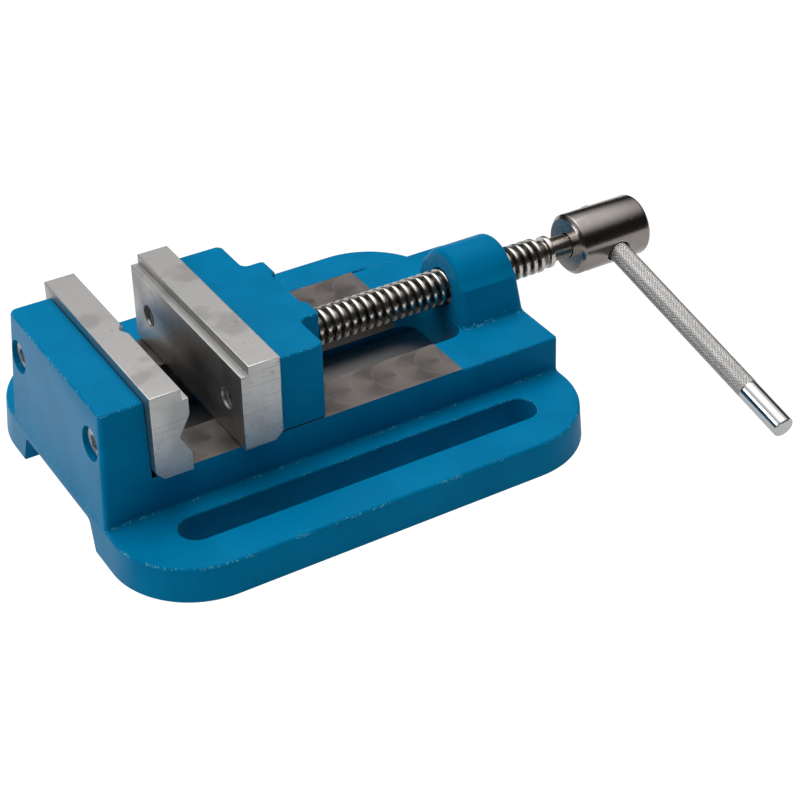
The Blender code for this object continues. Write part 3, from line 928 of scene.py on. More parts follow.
@dataclass
class BaseCasting:
    """Base of the vise: flanges, bed with ground rails, fixed jaw block and nut boss."""

    left: float = -22.2
    right: float = 190.0
    flange: float = 15.7
    flange_half: float = 89.1
    flange_draft: float = 1.2
    near_left_r: float = 35.0
    far_left_r: float = 44.0
    right_r: float = 37.0
    rail_top: float = 32.4
    painted_top: float = 31.9
    painted_from: float = 141.7
    foot_half: float = 47.0
    block_top: float = 66.7
    block_top_half: float = 44.6
    lean: float = 3.8
    channel_top: float = 12.3
    channel_half: float = 32.0
    channel_draft: Flat = (6.2, 2.4)
    channel_round: float = 2.0
    slot: Flat = (14.0, 158.4)
    slot_half: float = 23.4
    slot_r: float = 8.0
    flange_slot: Flat = (2.0, 166.8)
    flange_slot_y: float = 63.0
    flange_slot_half: float = 7.6
    flange_slot_rim: float = 1.0
    nut: Flat = (158.7, 189.7)
    nut_lean: Flat = (0.11, 0.05)
    nut_r: float = 16.6
    nut_foot: float = 23.2
    nut_foot_r: float = 2.4
    nut_shoulder: float = 17.0
    nut_shoulder_r: float = 1.9
    nut_round: float = 3.0
    nut_bore: Point = (8.35, 9.3, 9.9)
    edge: float = 1.5
    fillet_r: float = 1.5
    plate_seat: float = -0.3
    bed_start: float = -10.0
    bed_lap: float = 0.6
    bed_low: float = 2.0
    grinding_stock: float = 1.6
    block_rounds: Point = (3.6, 2.2, 1.1)
    bed_rounds: Flat = (1.4, 1.0)
    counterbore: Flat = (-9.5, 7.2)
    screw_hole: float = 4.4

    def half_at(self, z: float) -> float:
        """Half width of the drafted bed and block at a height."""
        slope = (self.block_top_half - self.foot_half) / (self.block_top - self.flange)
        return self.foot_half + slope * (z - self.flange)

    def end_at(self, z: float) -> float:
        """X of the leaning end face at a height."""
        rise = max(0.0, z - self.channel_top) / (self.block_top - self.channel_top)
        return self.left + self.lean * rise

    def plan(self, grow: float) -> list[Flat]:
        """Outline of the flanges.

        Args:
            grow: How far outside the nominal outline.

        Returns:
            Points in X and Y.
        """
        left, right, half = self.left - grow, self.right + grow, self.flange_half + grow
        near, far, end = self.near_left_r + grow, self.far_left_r + grow, self.right_r + grow
        points = arc((right - end, end - half), end, -90, 0, 20)
        points += arc((right - end, half - end), end, 0, 90, 20)
        points += arc((left + far, half - far), far, 90, 180, 20)
        return points + arc((left + near, near - half), near, 180, 270, 20)

    def flanges(self) -> Body:
        """Both flanges as one slab with a rounded top edge.

        Returns:
            The body.
        """
        sections = [(0.0, self.flange_draft - 0.5), (0.5, self.flange_draft - 0.05)]
        for angle in (0, 18, 36, 54, 72, 90):
            turn = math.radians(angle)
            drop = self.edge * (1 - math.sin(turn))
            sections.append((self.flange - drop, -self.edge * (1 - math.cos(turn))))
        return loft([[(x, y, z) for x, y in self.plan(grow)] for z, grow in sections])

    def run(self, start: Callable[[float], float], end: float, top: float) -> Body:
        """Drafted stretch of the bed or the block.

        Args:
            start: X of its left face at a height.
            end: X of its right face.
            top: Its height.

        Returns:
            The body.
        """
        heights = (self.bed_low, self.channel_top, top)
        side = [(start(z), z) for z in heights] + [(end, z) for z in reversed(heights)]
        return loft([[(x, sign * self.half_at(z), z) for x, z in side] for sign in SIDES])

    def fillet(self, sign: int) -> Body:
        """Hollow fillet between flange and bed on one side.

        Args:
            sign: NEAR or FAR.

        Returns:
            The body.
        """
        radius, sink = self.fillet_r, 1.0
        foot = self.half_at(self.flange)
        section = [(foot - radius, self.flange - sink), (foot + radius, self.flange - sink)]
        section += arc((foot + radius, self.flange + radius), radius, 270, 183, 6)
        section.append((foot - radius, self.flange + radius))
        outline = [(sign * y, z) for y, z in section]
        return prism_x(outline, self.left + 1.2, self.right - 0.8)

    def nut_outline(self, inset: float) -> list[Flat]:
        """Section of the nut boss.

        Args:
            inset: How far inside the nominal section.

        Returns:
            Points in Y and Z.
        """
        top, sink, rise = self.painted_top, 4.0, 4.2
        foot, shoulder = self.nut_foot - inset, self.nut_shoulder - inset
        far = [(foot, top - sink), (foot, top)]
        far += arc((foot + 0.2, top + self.nut_foot_r), self.nut_foot_r, 270, 198, 4)
        far.append((shoulder + 0.35, AXIS_HEIGHT + rise - 0.2))
        far += arc((shoulder - 1.6, AXIS_HEIGHT + rise), self.nut_shoulder_r, 10, 50, 4)
        dome = arc((0.0, AXIS_HEIGHT), self.nut_r - inset, 30, 150, 32)
        return far + dome + [(-y, z) for y, z in reversed(far)]

    def nut_boss(self) -> Body:
        """Boss that holds the nut thread, rounded at both faces.

        Returns:
            The body.
        """
        rings = []
        for end, way, lean in zip(self.nut, (1.0, -1.0), self.nut_lean):
            face = []
            for angle in range(0, 91, 15):
                depth = self.nut_round * (1 - math.cos(math.radians(angle)))
                inset = self.nut_round * (1 - math.sin(math.radians(angle)))
                x = end + way * depth
                face.append(
                    [(x + way * lean * max(0.0, z - self.rail_top), y, z)
                     for y, z in self.nut_outline(inset)]
                )
            rings += face if way > 0 else list(reversed(face))
        return loft(rings)

    def channel(self) -> Body:
        """Cutter for the hollow under the bed.

        Returns:
            The body.
        """
        drop, reach = 5.0, 20.0
        left, right = self.left - reach, self.right + reach
        rings = []
        for z, share in ((-drop, 1 + drop / self.channel_top), (self.channel_top, 0.0)):
            near, far = (self.channel_half + lean * share for lean in self.channel_draft)
            rings.append([(left, -near, z), (right, -near, z), (right, far, z), (left, far, z)])
        return soften(
            loft(rings),
            self.channel_round,
            lambda a, b: min(a.z, b.z) > self.channel_top - 0.1 and abs(a.y - b.y) < 0.1,
        )

    def flange_cut(self, sign: int) -> Body:
        """Cutter for a clamping slot with a rounded rim.

        Args:
            sign: NEAR or FAR.

        Returns:
            The body.
        """
        rim, reach, steps = self.flange_slot_rim, 3.0, 4
        sections = [(-reach, 0.0)]
        for step in range(steps + 1):
            turn = math.pi / 2 * step / steps
            sections.append((self.flange - rim * (1 - math.sin(turn)), rim * (1 - math.cos(turn))))
        sections.append((self.flange + reach, rim))
        y = sign * self.flange_slot_y
        rings = []
        for z, grow in sections:
            half = self.flange_slot_half + grow
            start, end = self.flange_slot[0] - grow, self.flange_slot[1] + grow
            outline = arc((end - half, y), half, -90, 90, 20)
            outline += arc((start + half, y), half, 90, 270, 20)
            rings.append([(px, py, z) for px, py in outline])
        return loft(rings)

    def slot_cut(self) -> Body:
        """Cutter for the slot between the rails.

        Returns:
            The body.
        """
        start, end = self.slot
        half, radius, reach = self.slot_half, self.slot_r, 4.0
        outline: list[Flat] = []
        for corner, (x, y) in enumerate(
            ((end - radius, radius - half), (end - radius, half - radius),
             (start + radius, half - radius), (start + radius, radius - half))
        ):
            outline += arc((x, y), radius, 90 * corner - 90, 90 * corner, 8)
        return prism_z(outline, self.channel_top - reach, self.rail_top + reach)

    def bore_cuts(self) -> list[Body]:
        """Cutters for the two counterbores and the nut's bore.

        Returns:
            The bodies.
        """
        seat, head = self.counterbore
        sections = [(self.left - 8, head), (seat, head), (seat, self.screw_hole),
                    (3.0, self.screw_hole)]
        cuts = [moved(turned(sections, 40), at(0, sign * JAW_SCREW_Y, JAW_SCREW_Z))
                for sign in SIDES]
        front, rear = self.nut
        bore, mouth, outer = self.nut_bore
        sections = [(front - 4, outer), (front + 1.2, mouth), (front + 2.2, bore),
                    (rear - 2.4, bore), (rear - 1.4, mouth), (rear + 4, outer)]
        cuts.append(moved(turned(sections, 64), at(0, 0, AXIS_HEIGHT)))
        return cuts

    def jaw_block(self) -> Body:
        """Fixed jaw block with its end corners and its top edges rounded.

        Returns:
            The body.
        """
        body = self.run(self.end_at, self.plate_seat, self.block_top)
        far_corner, near_corner, top_edge = self.block_rounds
        clear = 5.0
        soften(body, far_corner, lambda a, b: self.on_end(a) and self.on_end(b)
               and min(a.y, b.y) > clear, 6)
        soften(body, near_corner, lambda a, b: self.on_end(a) and self.on_end(b)
               and max(a.y, b.y) < -clear, 5)
        soften(body, top_edge, lambda a, b: min(a.z, b.z) > self.block_top - 0.1
               and min(a.x, b.x) < -1.0, 4)
        return body

    def beds(self) -> list[Body]:
        """Bed under the rails, still to be ground, and the painted bed behind it.

        Returns:
            The two bodies.
        """
        ground = self.run(
            lambda _z: self.bed_start, self.painted_from, self.rail_top + self.grinding_stock
        )
        painted = self.run(
            lambda _z: self.painted_from - self.bed_lap, self.right, self.painted_top
        )
        end_edge, top_edge = self.bed_rounds
        soften(painted, end_edge, lambda a, b: min(a.x, b.x) > self.right - 0.1
               and abs(a.z - b.z) > 1.0, 4)
        soften(painted, top_edge, lambda a, b: min(a.z, b.z) > self.painted_top - 0.1
               and max(a.x, b.x) > self.painted_from, 4)
        return [ground, painted]

    def on_end(self, place: Vector) -> bool:
        """True for a point on the leaning end face."""
        return abs(place.x - self.end_at(place.z)) < 0.05

    def finish_at(self, face: bpy.types.MeshPolygon) -> CastFinish:
        """Finish of one face.

        Args:
            face: The face, in millimetres.

        Returns:
            Rail on the ground tops, wall inside the slot, and enamel elsewhere.
        """
        x, y, z = face.center
        flat_top = face.normal.z > 0.95 and abs(z - self.rail_top) < 0.05
        upright = self.channel_top < z < self.rail_top and abs(face.normal.z) < 0.3
        in_slot = abs(y) < self.slot_half + 0.1 and x > self.slot[0] - 0.1
        if x >= self.painted_from:
            return CastFinish.ENAMEL
        if flat_top:
            return CastFinish.RAIL
        return CastFinish.WALL if upright and in_slot else CastFinish.ENAMEL

    def build(self) -> bpy.types.Object:
        """Build, dress and place the casting.

        Returns:
            The piece.
        """
        obj = to_mesh("cast_base", self.jaw_block())
        fillets = [self.fillet(sign) for sign in SIDES]
        carve(obj, [*self.beds(), self.flanges(), *fillets, self.nut_boss()], joined=True)
        reach = 60.0
        ground_off = block((self.plate_seat, -reach, self.rail_top),
                           (self.painted_from, reach, reach))
        cuts = [ground_off, self.channel(), self.slot_cut()]
        cuts += [self.flange_cut(sign) for sign in SIDES]
        carve(obj, cuts + self.bore_cuts())
        rail_middle = (self.half_at(self.rail_top) + self.slot_half) / 2
        finishes = [
            Enamel("base_enamel", polished_end=True).material(),
            ScouredRail("scoured_rails", rail_middle).material(),
            Hardware.IRON.finish().material(),
        ]
        chosen = [self.finish_at(face).value for face in obj.data.polygons]
        return hand_over(
            obj, "base", finishes, ["base_casting"], 28.0, chosen
        )


@dataclass(frozen=True)
class UprightHole:
    """Round upright hole on each side of the screw."""

    x: float
    side: float
    radius: float
    top: float

    def cutter(self, sign: int) -> Body:
        """Cutter for the hole on one side.

        Args:
            sign: NEAR or FAR.

        Returns:
            The body.
        """
        bar = turned([(9.0, self.radius), (self.top, self.radius)], 24)
        turn = Matrix.Rotation(-math.pi / 2, 4, "Y")
        return moved(bar, at(self.x, sign * self.side, 0) @ turn)


@dataclass
class MovingJaw:
    """Casting that slides on the bed and carries the moving plate."""

    front: float = 55.7
    rear: float = 77.7
    boss_rear: float = 87.2
    boss_half: float = 24.6
    recess: float = 2.2
    recess_half: float = 14.2
    half: float = 45.8
    top_share: float = 0.989
    bottom: float = 32.7
    top: float = 66.7
    corner_r: float = 3.0
    boss_r: float = 1.8
    top_round: float = 0.9
    tongue: Flat = (56.6, 82.0)
    tongue_half: float = 22.7
    tongue_bottom: float = 12.2
    screw_bore: Point = (5.9, 6.9, 7.4)
    screw_floor: float = 58.0
    seat: float = 68.6
    counterbore: Flat = (7.2, 7.8)
    screw_hole: float = 4.4
    dowel_hole: UprightHole = UprightHole(70.0, 6.1, 2.3, 51.3)
    bolt_hole: UprightHole = UprightHole(71.0, 15.0, 3.3, 28.8)

    def plan(self) -> list[Flat]:
        """Outline of the casting from above.

        Returns:
            Points in X and Y.
        """
        corner, small = self.corner_r, self.boss_r
        near = [(self.front, -self.half)]
        near += arc((self.rear - corner, corner - self.half), corner, -90, 0, 8)
        near += arc((self.rear + corner, -self.boss_half - corner), corner, 180, 90, 8)
        near += arc((self.boss_rear - small, small - self.boss_half), small, -90, 0, 6)
        near += [(self.boss_rear, -self.recess_half),
                 (self.boss_rear - self.recess, small - self.recess_half)]
        return near + [(x, -y) for x, y in reversed(near)]

    def bore_cuts(self) -> list[Body]:
        """Cutters for the screw, the plate's screws, the dowels and the bolts.

        Returns:
            The bodies.
        """
        bore, mouth, outer = self.screw_bore
        end = self.boss_rear
        sections = [(self.screw_floor, bore), (end - 3.4, bore), (end - 2.4, mouth),
                    (end + 4, outer)]
        cuts = [moved(turned(sections, 48), at(0, 0, AXIS_HEIGHT))]
        head, rim = self.counterbore
        sections = [(52.0, self.screw_hole), (self.seat, self.screw_hole), (self.seat, head),
                    (self.rear - 0.4, head), (self.rear + 0.1, rim), (self.rear + 4, rim)]
        for sign in SIDES:
            cuts.append(moved(turned(sections, 40), at(0, sign * JAW_SCREW_Y, JAW_SCREW_Z)))
        for hole in (self.dowel_hole, self.bolt_hole):
            cuts += [hole.cutter(sign) for sign in SIDES]
        return cuts

    def build(self) -> bpy.types.Object:
        """Build, dress and place the casting.

        Returns:
            The piece.
        """
        plan = self.plan()
        body = loft([[(x, y, self.bottom) for x, y in plan],
                     [(x, y * self.top_share, self.top) for x, y in plan]])
        soften(body, self.top_round, lambda a, b: min(a.z, b.z) > self.top - 0.1
               and max(a.x, b.x) > self.front + 0.5, 4)
        obj = to_mesh("cast_moving_jaw", body)
        start, end = self.tongue
        tongue = block((start, -self.tongue_half, self.tongue_bottom),
                       (end, self.tongue_half, self.bottom + 2.0))
        carve(obj, [tongue], joined=True)
        carve(obj, self.bore_cuts())
        enamel = Enamel("jaw_enamel").material()
        return hand_over(
            obj, "moving_jaw", [enamel], ["moving_jaw_casting"], 28.0
        )


@dataclass
class JawPlates:
    """Two ground plates, one grooved and one flat with tapped holes."""

    half: float = 50.0
    bottom: float = 32.7
    top: float = 71.2
    fixed: float = 16.0
    fixed_step: Flat = (13.2, 66.3)
    groove: Point = (41.1, 49.5, 58.7)
    groove_depth: float = 4.7
    upright_depth: float = 4.9
    face: float = 38.3
    back: float = 55.4
    moving_step: Flat = (41.6, 67.1)
    chamfer: float = 3.5
    hole_r: float = 4.3
    mouth_r: float = 5.4
    notch_half_angle: float = 62.5
    thread_pitch: float = 1.25
    thread_turns: int = 4
    thread_radii: Flat = (3.55, 4.22)
    edge: float = 0.35

    def fixed_plate(self) -> bpy.types.Object:
        """Build, dress and place the grooved plate.

        Returns:
            The piece.
        """
        step_x, step_z = self.fixed_step
        low, root, high = self.groove
        side = [(self.chamfer, self.bottom), (self.fixed, self.bottom), (self.fixed, low),
                (self.fixed - self.groove_depth, root), (self.fixed, high), (self.fixed, step_z),
                (step_x, step_z), (step_x, self.top), (0.0, self.top),
                (0.0, self.bottom + self.chamfer)]
        obj = to_mesh("ground_fixed_plate", prism_y(side, self.half))
        reach = 6.0
        spread = (self.upright_depth + reach) * math.tan(math.radians(self.notch_half_angle))
        notch = [(self.fixed - self.upright_depth, 0.0), (self.fixed + reach, -spread),
                 (self.fixed + reach, spread)]
        blind = [(-3.0, self.hole_r), (9.9, self.hole_r)]
        holes = [self.hole(blind, sign, 32) for sign in SIDES]
        carve(obj, [prism_z(notch, self.bottom - 4, self.top + 4)] + holes)
        self.break_edges(obj)
        steel = GroundSteel("fixed_plate_steel").material()
        return hand_over(obj, "base", [steel], ["fixed_jaw_plate"], 20.0)

    def moving_plate(self) -> bpy.types.Object:
        """Build, dress and place the flat plate.

        Returns:
            The piece.
        """
        step_x, step_z = self.moving_step
        side = [(self.face, self.bottom), (self.back - self.chamfer, self.bottom),
                (self.back, self.bottom + self.chamfer), (self.back, self.top),
                (step_x, self.top), (step_x, step_z), (self.face, step_z)]
        obj = to_mesh("ground_moving_plate", prism_y(side, self.half))
        through = [(self.face - 1, self.mouth_r), (self.face + 0.9, self.hole_r),
                   (self.back + 3, self.hole_r)]
        carve(obj, [self.hole(through, sign, 40) for sign in SIDES])
        self.break_edges(obj)
        steel = GroundSteel("moving_plate_steel").material()
        return hand_over(obj, "moving_jaw", [steel], ["moving_jaw_plate"], 20.0)

    def hole(self, sections: Sequence[Flat], sign: int, sides: int) -> Body:
        """Cutter for one screw's hole.

        Args:
            sections: Pairs of X and radius.
            sign: NEAR or FAR.
            sides: Facets around.

        Returns:
            The body.
        """
        return moved(turned(sections, sides), at(0, sign * JAW_SCREW_Y, JAW_SCREW_Z))

    def break_edges(self, obj: bpy.types.Object) -> None:
        """Take the sharpness off a plate's edges.

        Args:
            obj: The plate, in millimetres.
        """
        bm = bmesh.new()
        bm.from_mesh(obj.data)
        bmesh.ops.dissolve_limit(bm, angle_limit=math.radians(1.0), verts=bm.verts, edges=bm.edges)
        soften(bm, self.edge, every, 2)
        bm.to_mesh(obj.data)
        bm.free()

    def hole_thread(self, sign: int, steel: bpy.types.Material) -> bpy.types.Object:
        """Thread that shows in one tapped hole.

        Args:
            sign: NEAR or FAR.
            steel: The plate's finish.

        Returns:
            The piece.
        """
        sides = 36
        crest, root = self.thread_radii
        rings = []
        for step in range(self.thread_turns * sides + 1):
            angle = math.tau * step / sides
            x = self.face + 0.9 + self.thread_pitch * step / sides
            ring = []
            for dx, radius in ((0.0, root), (0.5, crest), (0.7, crest), (1.15, root)):
                ring.append((x + dx, radius * math.cos(angle), radius * math.sin(angle)))
            rings.append(ring)
        thread = moved(loft(rings), at(0, sign * JAW_SCREW_Y, JAW_SCREW_Z))
        obj = to_mesh("tapped_thread_near" if sign == NEAR else "tapped_thread_far", thread)
        return hand_over(obj, "moving_jaw", [steel])

    def build(self) -> None:
        """Build both plates and the threads that show in the holes."""
        self.fixed_plate()
        plate = self.moving_plate()
        for sign in SIDES:
            self.hole_thread(sign, plate.data.materials[0])


@dataclass
class LeadScrew:
    """Screw with a trapezoidal thread, an end collar and a plain shank."""

    pitch: float = 4.0
    crest: float = 8.0
    root: float = 5.75
    thread: Flat = (89.1, 213.3)
    sides: int = 64
    tip: float = 61.6
    neck: Flat = (67.6, 72.4)
    neck_r: float = 3.8
    collar: Flat = (213.6, 217.4)
    collar_r: float = 7.4
    shank: float = 5.5
    shank_end: float = 238.2

    def profile(self) -> list[Flat]:
        """One tooth as offsets along the axis and radii, with eased corners.

        Returns:
            Pairs of offset and radius from left to right.
        """
        flank = [(0.60, self.crest), (0.74, self.crest - 0.07), (0.82, self.crest - 0.26),
                 (1.24, self.root + 0.12), (1.34, self.root)]
        return [(-dx, radius) for dx, radius in reversed(flank)] + flank

    def threaded(self, before: Sequence[Flat], after: Sequence[Flat]) -> Body:
        """Closed right-hand thread between two runs of plain sections.

        Args:
            before: Sections from the left cap to the thread.
            after: Sections from the right cap back to the thread.

        Returns:
            The body.
        """
        bm = bmesh.new()
        start, end = self.thread
        tooth = self.profile()
        count = len(tooth)
        turns = int((end - start) / self.pitch)
        columns = []
        for side in range(self.sides):
            share = side / self.sides
            angle = math.tau * share
            points: list[Flat] = []
            for turn in range(turns):
                middle = start + (turn + 0.5 + share) * self.pitch
                cut = 0 < turn < turns - 1
                points += [(middle + dx, r if cut else self.root) for dx, r in tooth]
            last = points[-count - 1][0]
            gap = (end - last) / (count + 1)
            points[-count:] = [(last + gap * (i + 1), self.root) for i in range(count)]
            columns.append([bm.verts.new((x, r * math.cos(angle), r * math.sin(angle)))
                            for x, r in points])
        for left, right in zip(columns, columns[1:]):
            for row in range(len(left) - 1):
                bm.faces.new((left[row], left[row + 1], right[row + 1], right[row]))
        last_column, first = columns[-1], columns[0]
        for row in range(len(first) - count - 1):
            bm.faces.new((last_column[row], last_column[row + 1], first[row + count + 1],
                          first[row + count]))
        head = self.plain_run(bm, before)
        tail = self.plain_run(bm, after)
        for side in range(self.sides - 1):
            here, following = columns[side], columns[side + 1]
            bm.faces.new((head[side], here[0], following[0], head[side + 1]))
            bm.faces.new((here[-1], tail[side], tail[side + 1], following[-1]))
        bm.faces.new([head[-1], last_column[0]] + first[count::-1] + [head[0]])
        bm.faces.new(last_column[-count - 1:] + [tail[-1], tail[0], first[-1]])
        bmesh.ops.recalc_face_normals(bm, faces=bm.faces)
        return bm

    def plain_run(self, bm: Body, sections: Sequence[Flat]) -> list[bmesh.types.BMVert]:
        """Capped run of round sections.

        Args:
            bm: The body that it joins.
            sections: Pairs of X and radius from the cap to the thread.

        Returns:
            The ring that meets the thread.
        """
        rows = [[bm.verts.new(point) for point in around(x, [radius], self.sides)]
                for x, radius in sections]
        for near, far in zip(rows, rows[1:]):
            for i in range(self.sides):
                j = (i + 1) % self.sides
                bm.faces.new((near[i], far[i], far[j], near[j]))
        bm.faces.new(rows[0])
        return rows[-1]

    def build(self) -> bpy.types.Object:
        """Build, dress and place the screw.

        Returns:
            The piece.
        """
        start, end = self.thread
        front, rear = self.neck
        plain, chamfer = self.shank, 0.6
        tip = [(self.tip, plain - chamfer), (self.tip + chamfer, plain), (front, plain),
               (front, self.neck_r), (rear, self.neck_r), (rear, plain), (start - 0.8, plain),
               (start, self.root)]
        left, right = self.collar
        tail = [(self.shank_end, plain - chamfer), (self.shank_end - chamfer, plain),
                (right, plain), (right - 0.3, plain + 0.2), (right - 1.1, self.collar_r - 0.25),
                (right - 1.4, self.collar_r - 0.05), (right - 1.7, self.collar_r),
                (left + 0.7, self.collar_r), (left + 0.4, self.collar_r - 0.1),
                (left, self.root), (end, self.root)]
        obj = to_mesh("turned_screw", moved(self.threaded(tip, tail), at(0, 0, AXIS_HEIGHT)))
        steel = TurnedSteel("screw_steel").material()
        return hand_over(obj, "screw", [steel], ["lead_screw"], 40.0)


@dataclass
class Hub:
    """Round head that carries the bar."""

    start: float = 226.6
    end: float = 263.9
    radius: float = 13.9
    bore: Flat = (5.8, 6.3)
    bore_end: float = 238.5
    cross: float = 246.5
    dip: float = 12.8
    bar_hole: Flat = (5.4, 6.2)
    set_screw: Flat = (3.3, 3.7)
    pin_x: float = 232.6
    pin_tilt: float = 51.5
    pin_hole: float = 1.8

    def across(self, axis: Vector, x: float) -> Matrix:
        """Matrix that lays a turned body across the screw.

        Args:
            axis: The body's direction.
            x: Where it crosses the screw's axis.

        Returns:
            The matrix.
        """
        turn = Vector((1.0, 0.0, 0.0)).rotation_difference(axis).to_matrix().to_4x4()
        return at(x, 0.0, AXIS_HEIGHT) @ turn

    def bar_axis(self) -> Vector:
        """Direction of the bar towards its near end."""
        tilt = math.radians(self.dip)
        return Vector((0.0, -math.cos(tilt), -math.sin(tilt)))

    def shank_bore(self) -> Body:
        """Cutter for the blind bore that takes the screw's shank.

        Returns:
            The body.
        """
        bore, mouth = self.bore
        sections = [(self.start - 3, mouth), (self.start + 0.5, bore), (self.bore_end, bore)]
        return turned(sections, 48)

    def set_screw_bore(self) -> Body:
        """Cutter for the set screw's hole in the end face.

        Returns:
            The body.
        """
        bore, mouth = self.set_screw
        sections = [(self.cross, bore), (self.end - 0.5, bore), (self.end + 0.1, mouth),
                    (self.end + 3, mouth)]
        return turned(sections, 32)

    def bar_bore(self) -> Body:
        """Cutter for the bar's hole, with a chamfer at both mouths.

        Returns:
            The body.
        """
        bore, mouth = self.bar_hole
        half = [(self.radius - 0.9, bore), (self.radius, mouth), (20.0, mouth)]
        sections = [(-x, r) for x, r in reversed(half)] + half
        return moved(turned(sections, 56), self.across(self.bar_axis(), self.cross))

    def pin_bore(self) -> Body:
        """Cutter for the pin that holds the hub on the shank.

        Returns:
            The body.
        """
        tilt = math.radians(self.pin_tilt)
        axis = Vector((0.0, math.cos(tilt), math.sin(tilt)))
        sections = [(-20.0, self.pin_hole), (20.0, self.pin_hole)]
        return moved(turned(sections, 20), self.across(axis, self.pin_x))

    def build(self) -> bpy.types.Object:
        """Build, dress and place the hub.

        Returns:
            The piece.
        """
        start, end, r = self.start, self.end, self.radius
        sections = [(start, r - 1.75), (start + 0.12, r - 1.6), (start + 1.35, r - 0.22),
                    (start + 1.6, r - 0.06), (start + 2.0, r), (end - 1.7, r), (end - 1.2, r - 0.1),
                    (end - 0.5, r - 0.5), (end - 0.12, r - 1.0), (end, r - 1.5)]
        level = at(0, 0, AXIS_HEIGHT)
        obj = to_mesh("turned_hub", moved(turned(sections, 96), level))
        cuts = [moved(self.shank_bore(), level), moved(self.set_screw_bore(), level),
                self.bar_bore(), self.pin_bore()]
        carve(obj, cuts)
        nickel = SatinNickel(
            "hub_nickel", (0.33, 0.30, 0.283, 1.0), (0.27, 0.245, 0.23, 1.0), 0.14
        ).material()
        return hand_over(obj, "screw", [nickel], ["screw_hub"], 30.0)


@dataclass
class HandleBar:
    """Tommy bar with a diamond knurl and a smooth end."""

    near: float = 133.8
    far: float = -15.6
    smooth_end: float = 25.0
    radius: float = 4.9
    depth: float = 0.17
    diamonds: int = 26
    length: float = 2.0
    mottle: Point = (140.0, 140.0, 140.0)

    def body(self) -> Body:
        """Bar along X with four-sided pyramids for its knurl.

        Returns:
            The body.
        """
        smooth, low, high = self.radius - 0.06, self.radius - self.depth, self.radius
        start, end = self.far + 1.7, self.near - self.smooth_end
        rows = [(self.far, [smooth - 0.9]), (self.far + 0.3, [smooth - 0.35]),
                (self.far + 0.9, [smooth]), (self.far + 1.4, [low])]
        steps = 2 * round((end - start) / self.length)
        first, last = len(rows), len(rows) + steps
        for i in range(steps + 1):
            radii = [low, high] if i % 2 else [high, low]
            rows.append((start + (end - start) * i / steps, radii))
        rows += [(end + 0.3, [low]), (end + 0.9, [smooth]), (self.near - 0.8, [smooth]),
                 (self.near - 0.35, [smooth - 0.15]), (self.near, [smooth - 0.6])]
        bm = bmesh.new()
        rings = [[bm.verts.new(point) for point in around(x, radii, 2 * self.diamonds)]
                 for x, radii in rows]
        count = len(rings[0])
        for row, (left, right) in enumerate(zip(rings, rings[1:])):
            for i in range(count):
                j = (i + 1) % count
                corners = [left[i], right[i], right[j], left[j]]
                if first <= row < last:
                    if (row - first + i) % 2:
                        corners = corners[1:] + corners[:1]
                    bm.faces.new((corners[0], corners[1], corners[3]))
                    bm.faces.new((corners[1], corners[2], corners[3]))
                else:
                    bm.faces.new(corners)
        bm.faces.new(rings[0])
        bm.faces.new(rings[-1])
        bmesh.ops.recalc_face_normals(bm, faces=bm.faces)
        return bm

    def build(self) -> bpy.types.Object:
        """Build, dress and place the bar.

        Returns:
            The piece.
        """
        bm = self.body()
        knurl_end = self.near - self.smooth_end + 0.3
        chosen = [int(face.calc_center_median().x > knurl_end) for face in bm.faces]
        hub = Hub()
        obj = to_mesh("knurled_bar", moved(bm, hub.across(hub.bar_axis(), hub.cross)))
        knurl = SatinNickel(
            "bar_knurl", (0.36, 0.35, 0.34, 1.0), (0.28, 0.272, 0.265, 1.0), 0.38, self.mottle
        )
        bright = SatinNickel(
            "bar_bright_end", (0.55, 0.55, 0.55, 1.0), (0.46, 0.46, 0.46, 1.0), 0.07, self.mottle
        )
        return hand_over(
            obj, "handle", [knurl.material(), bright.material()], ["handle_bar"],
            7.5, chosen,
        )


@dataclass
class SmallHardware:
    """Screws, bolts, washers, dowels and the guide plate."""

    edge: float = 0.25

    def build(self) -> None:
        """Dress every small CAD piece."""
        zinc = Hardware.ZINC.finish().material()
        black = Hardware.BLACK.finish().material()
        dowel = Hardware.DOWEL.finish().material()
        for side in ("near", "far"):
            dress_node(f"fixed_jaw_screw_{side}", zinc, self.edge)
            dress_node(f"moving_jaw_screw_{side}", black, self.edge)
            dress_node(f"guide_bolt_{side}", zinc, self.edge)
            dress_node(f"guide_washer_{side}", zinc)
            dress_node(f"screw_retaining_pin_{side}", dowel)
        dress_node("guide_plate", GroundSteel("guide_plate_steel").material(), self.edge)
        dress_node("thrust_disc", dowel)
        dress_node("hub_pin", dowel)
        dress_node("handle_grub_screw", black)


@dataclass(frozen=True)
class Lamp:
    """Soft square lamp that points at the vise, placed in metres from the datum."""

    name: str
    place: Point
    size: float
    power: float

    def hang(self) -> None:
        """Put the lamp into the scene."""
        data = bpy.data.lights.new(self.name, "AREA")
        data.shape = "SQUARE"
        data.size = self.size
        data.energy = self.power
        obj = bpy.data.objects.new(self.name, data)
        obj.location = DATUM + Vector(self.place)
        obj.rotation_euler = (-Vector(self.place)).to_track_quat("-Z", "Y").to_euler()
        bpy.context.scene.collection.objects.link(obj)


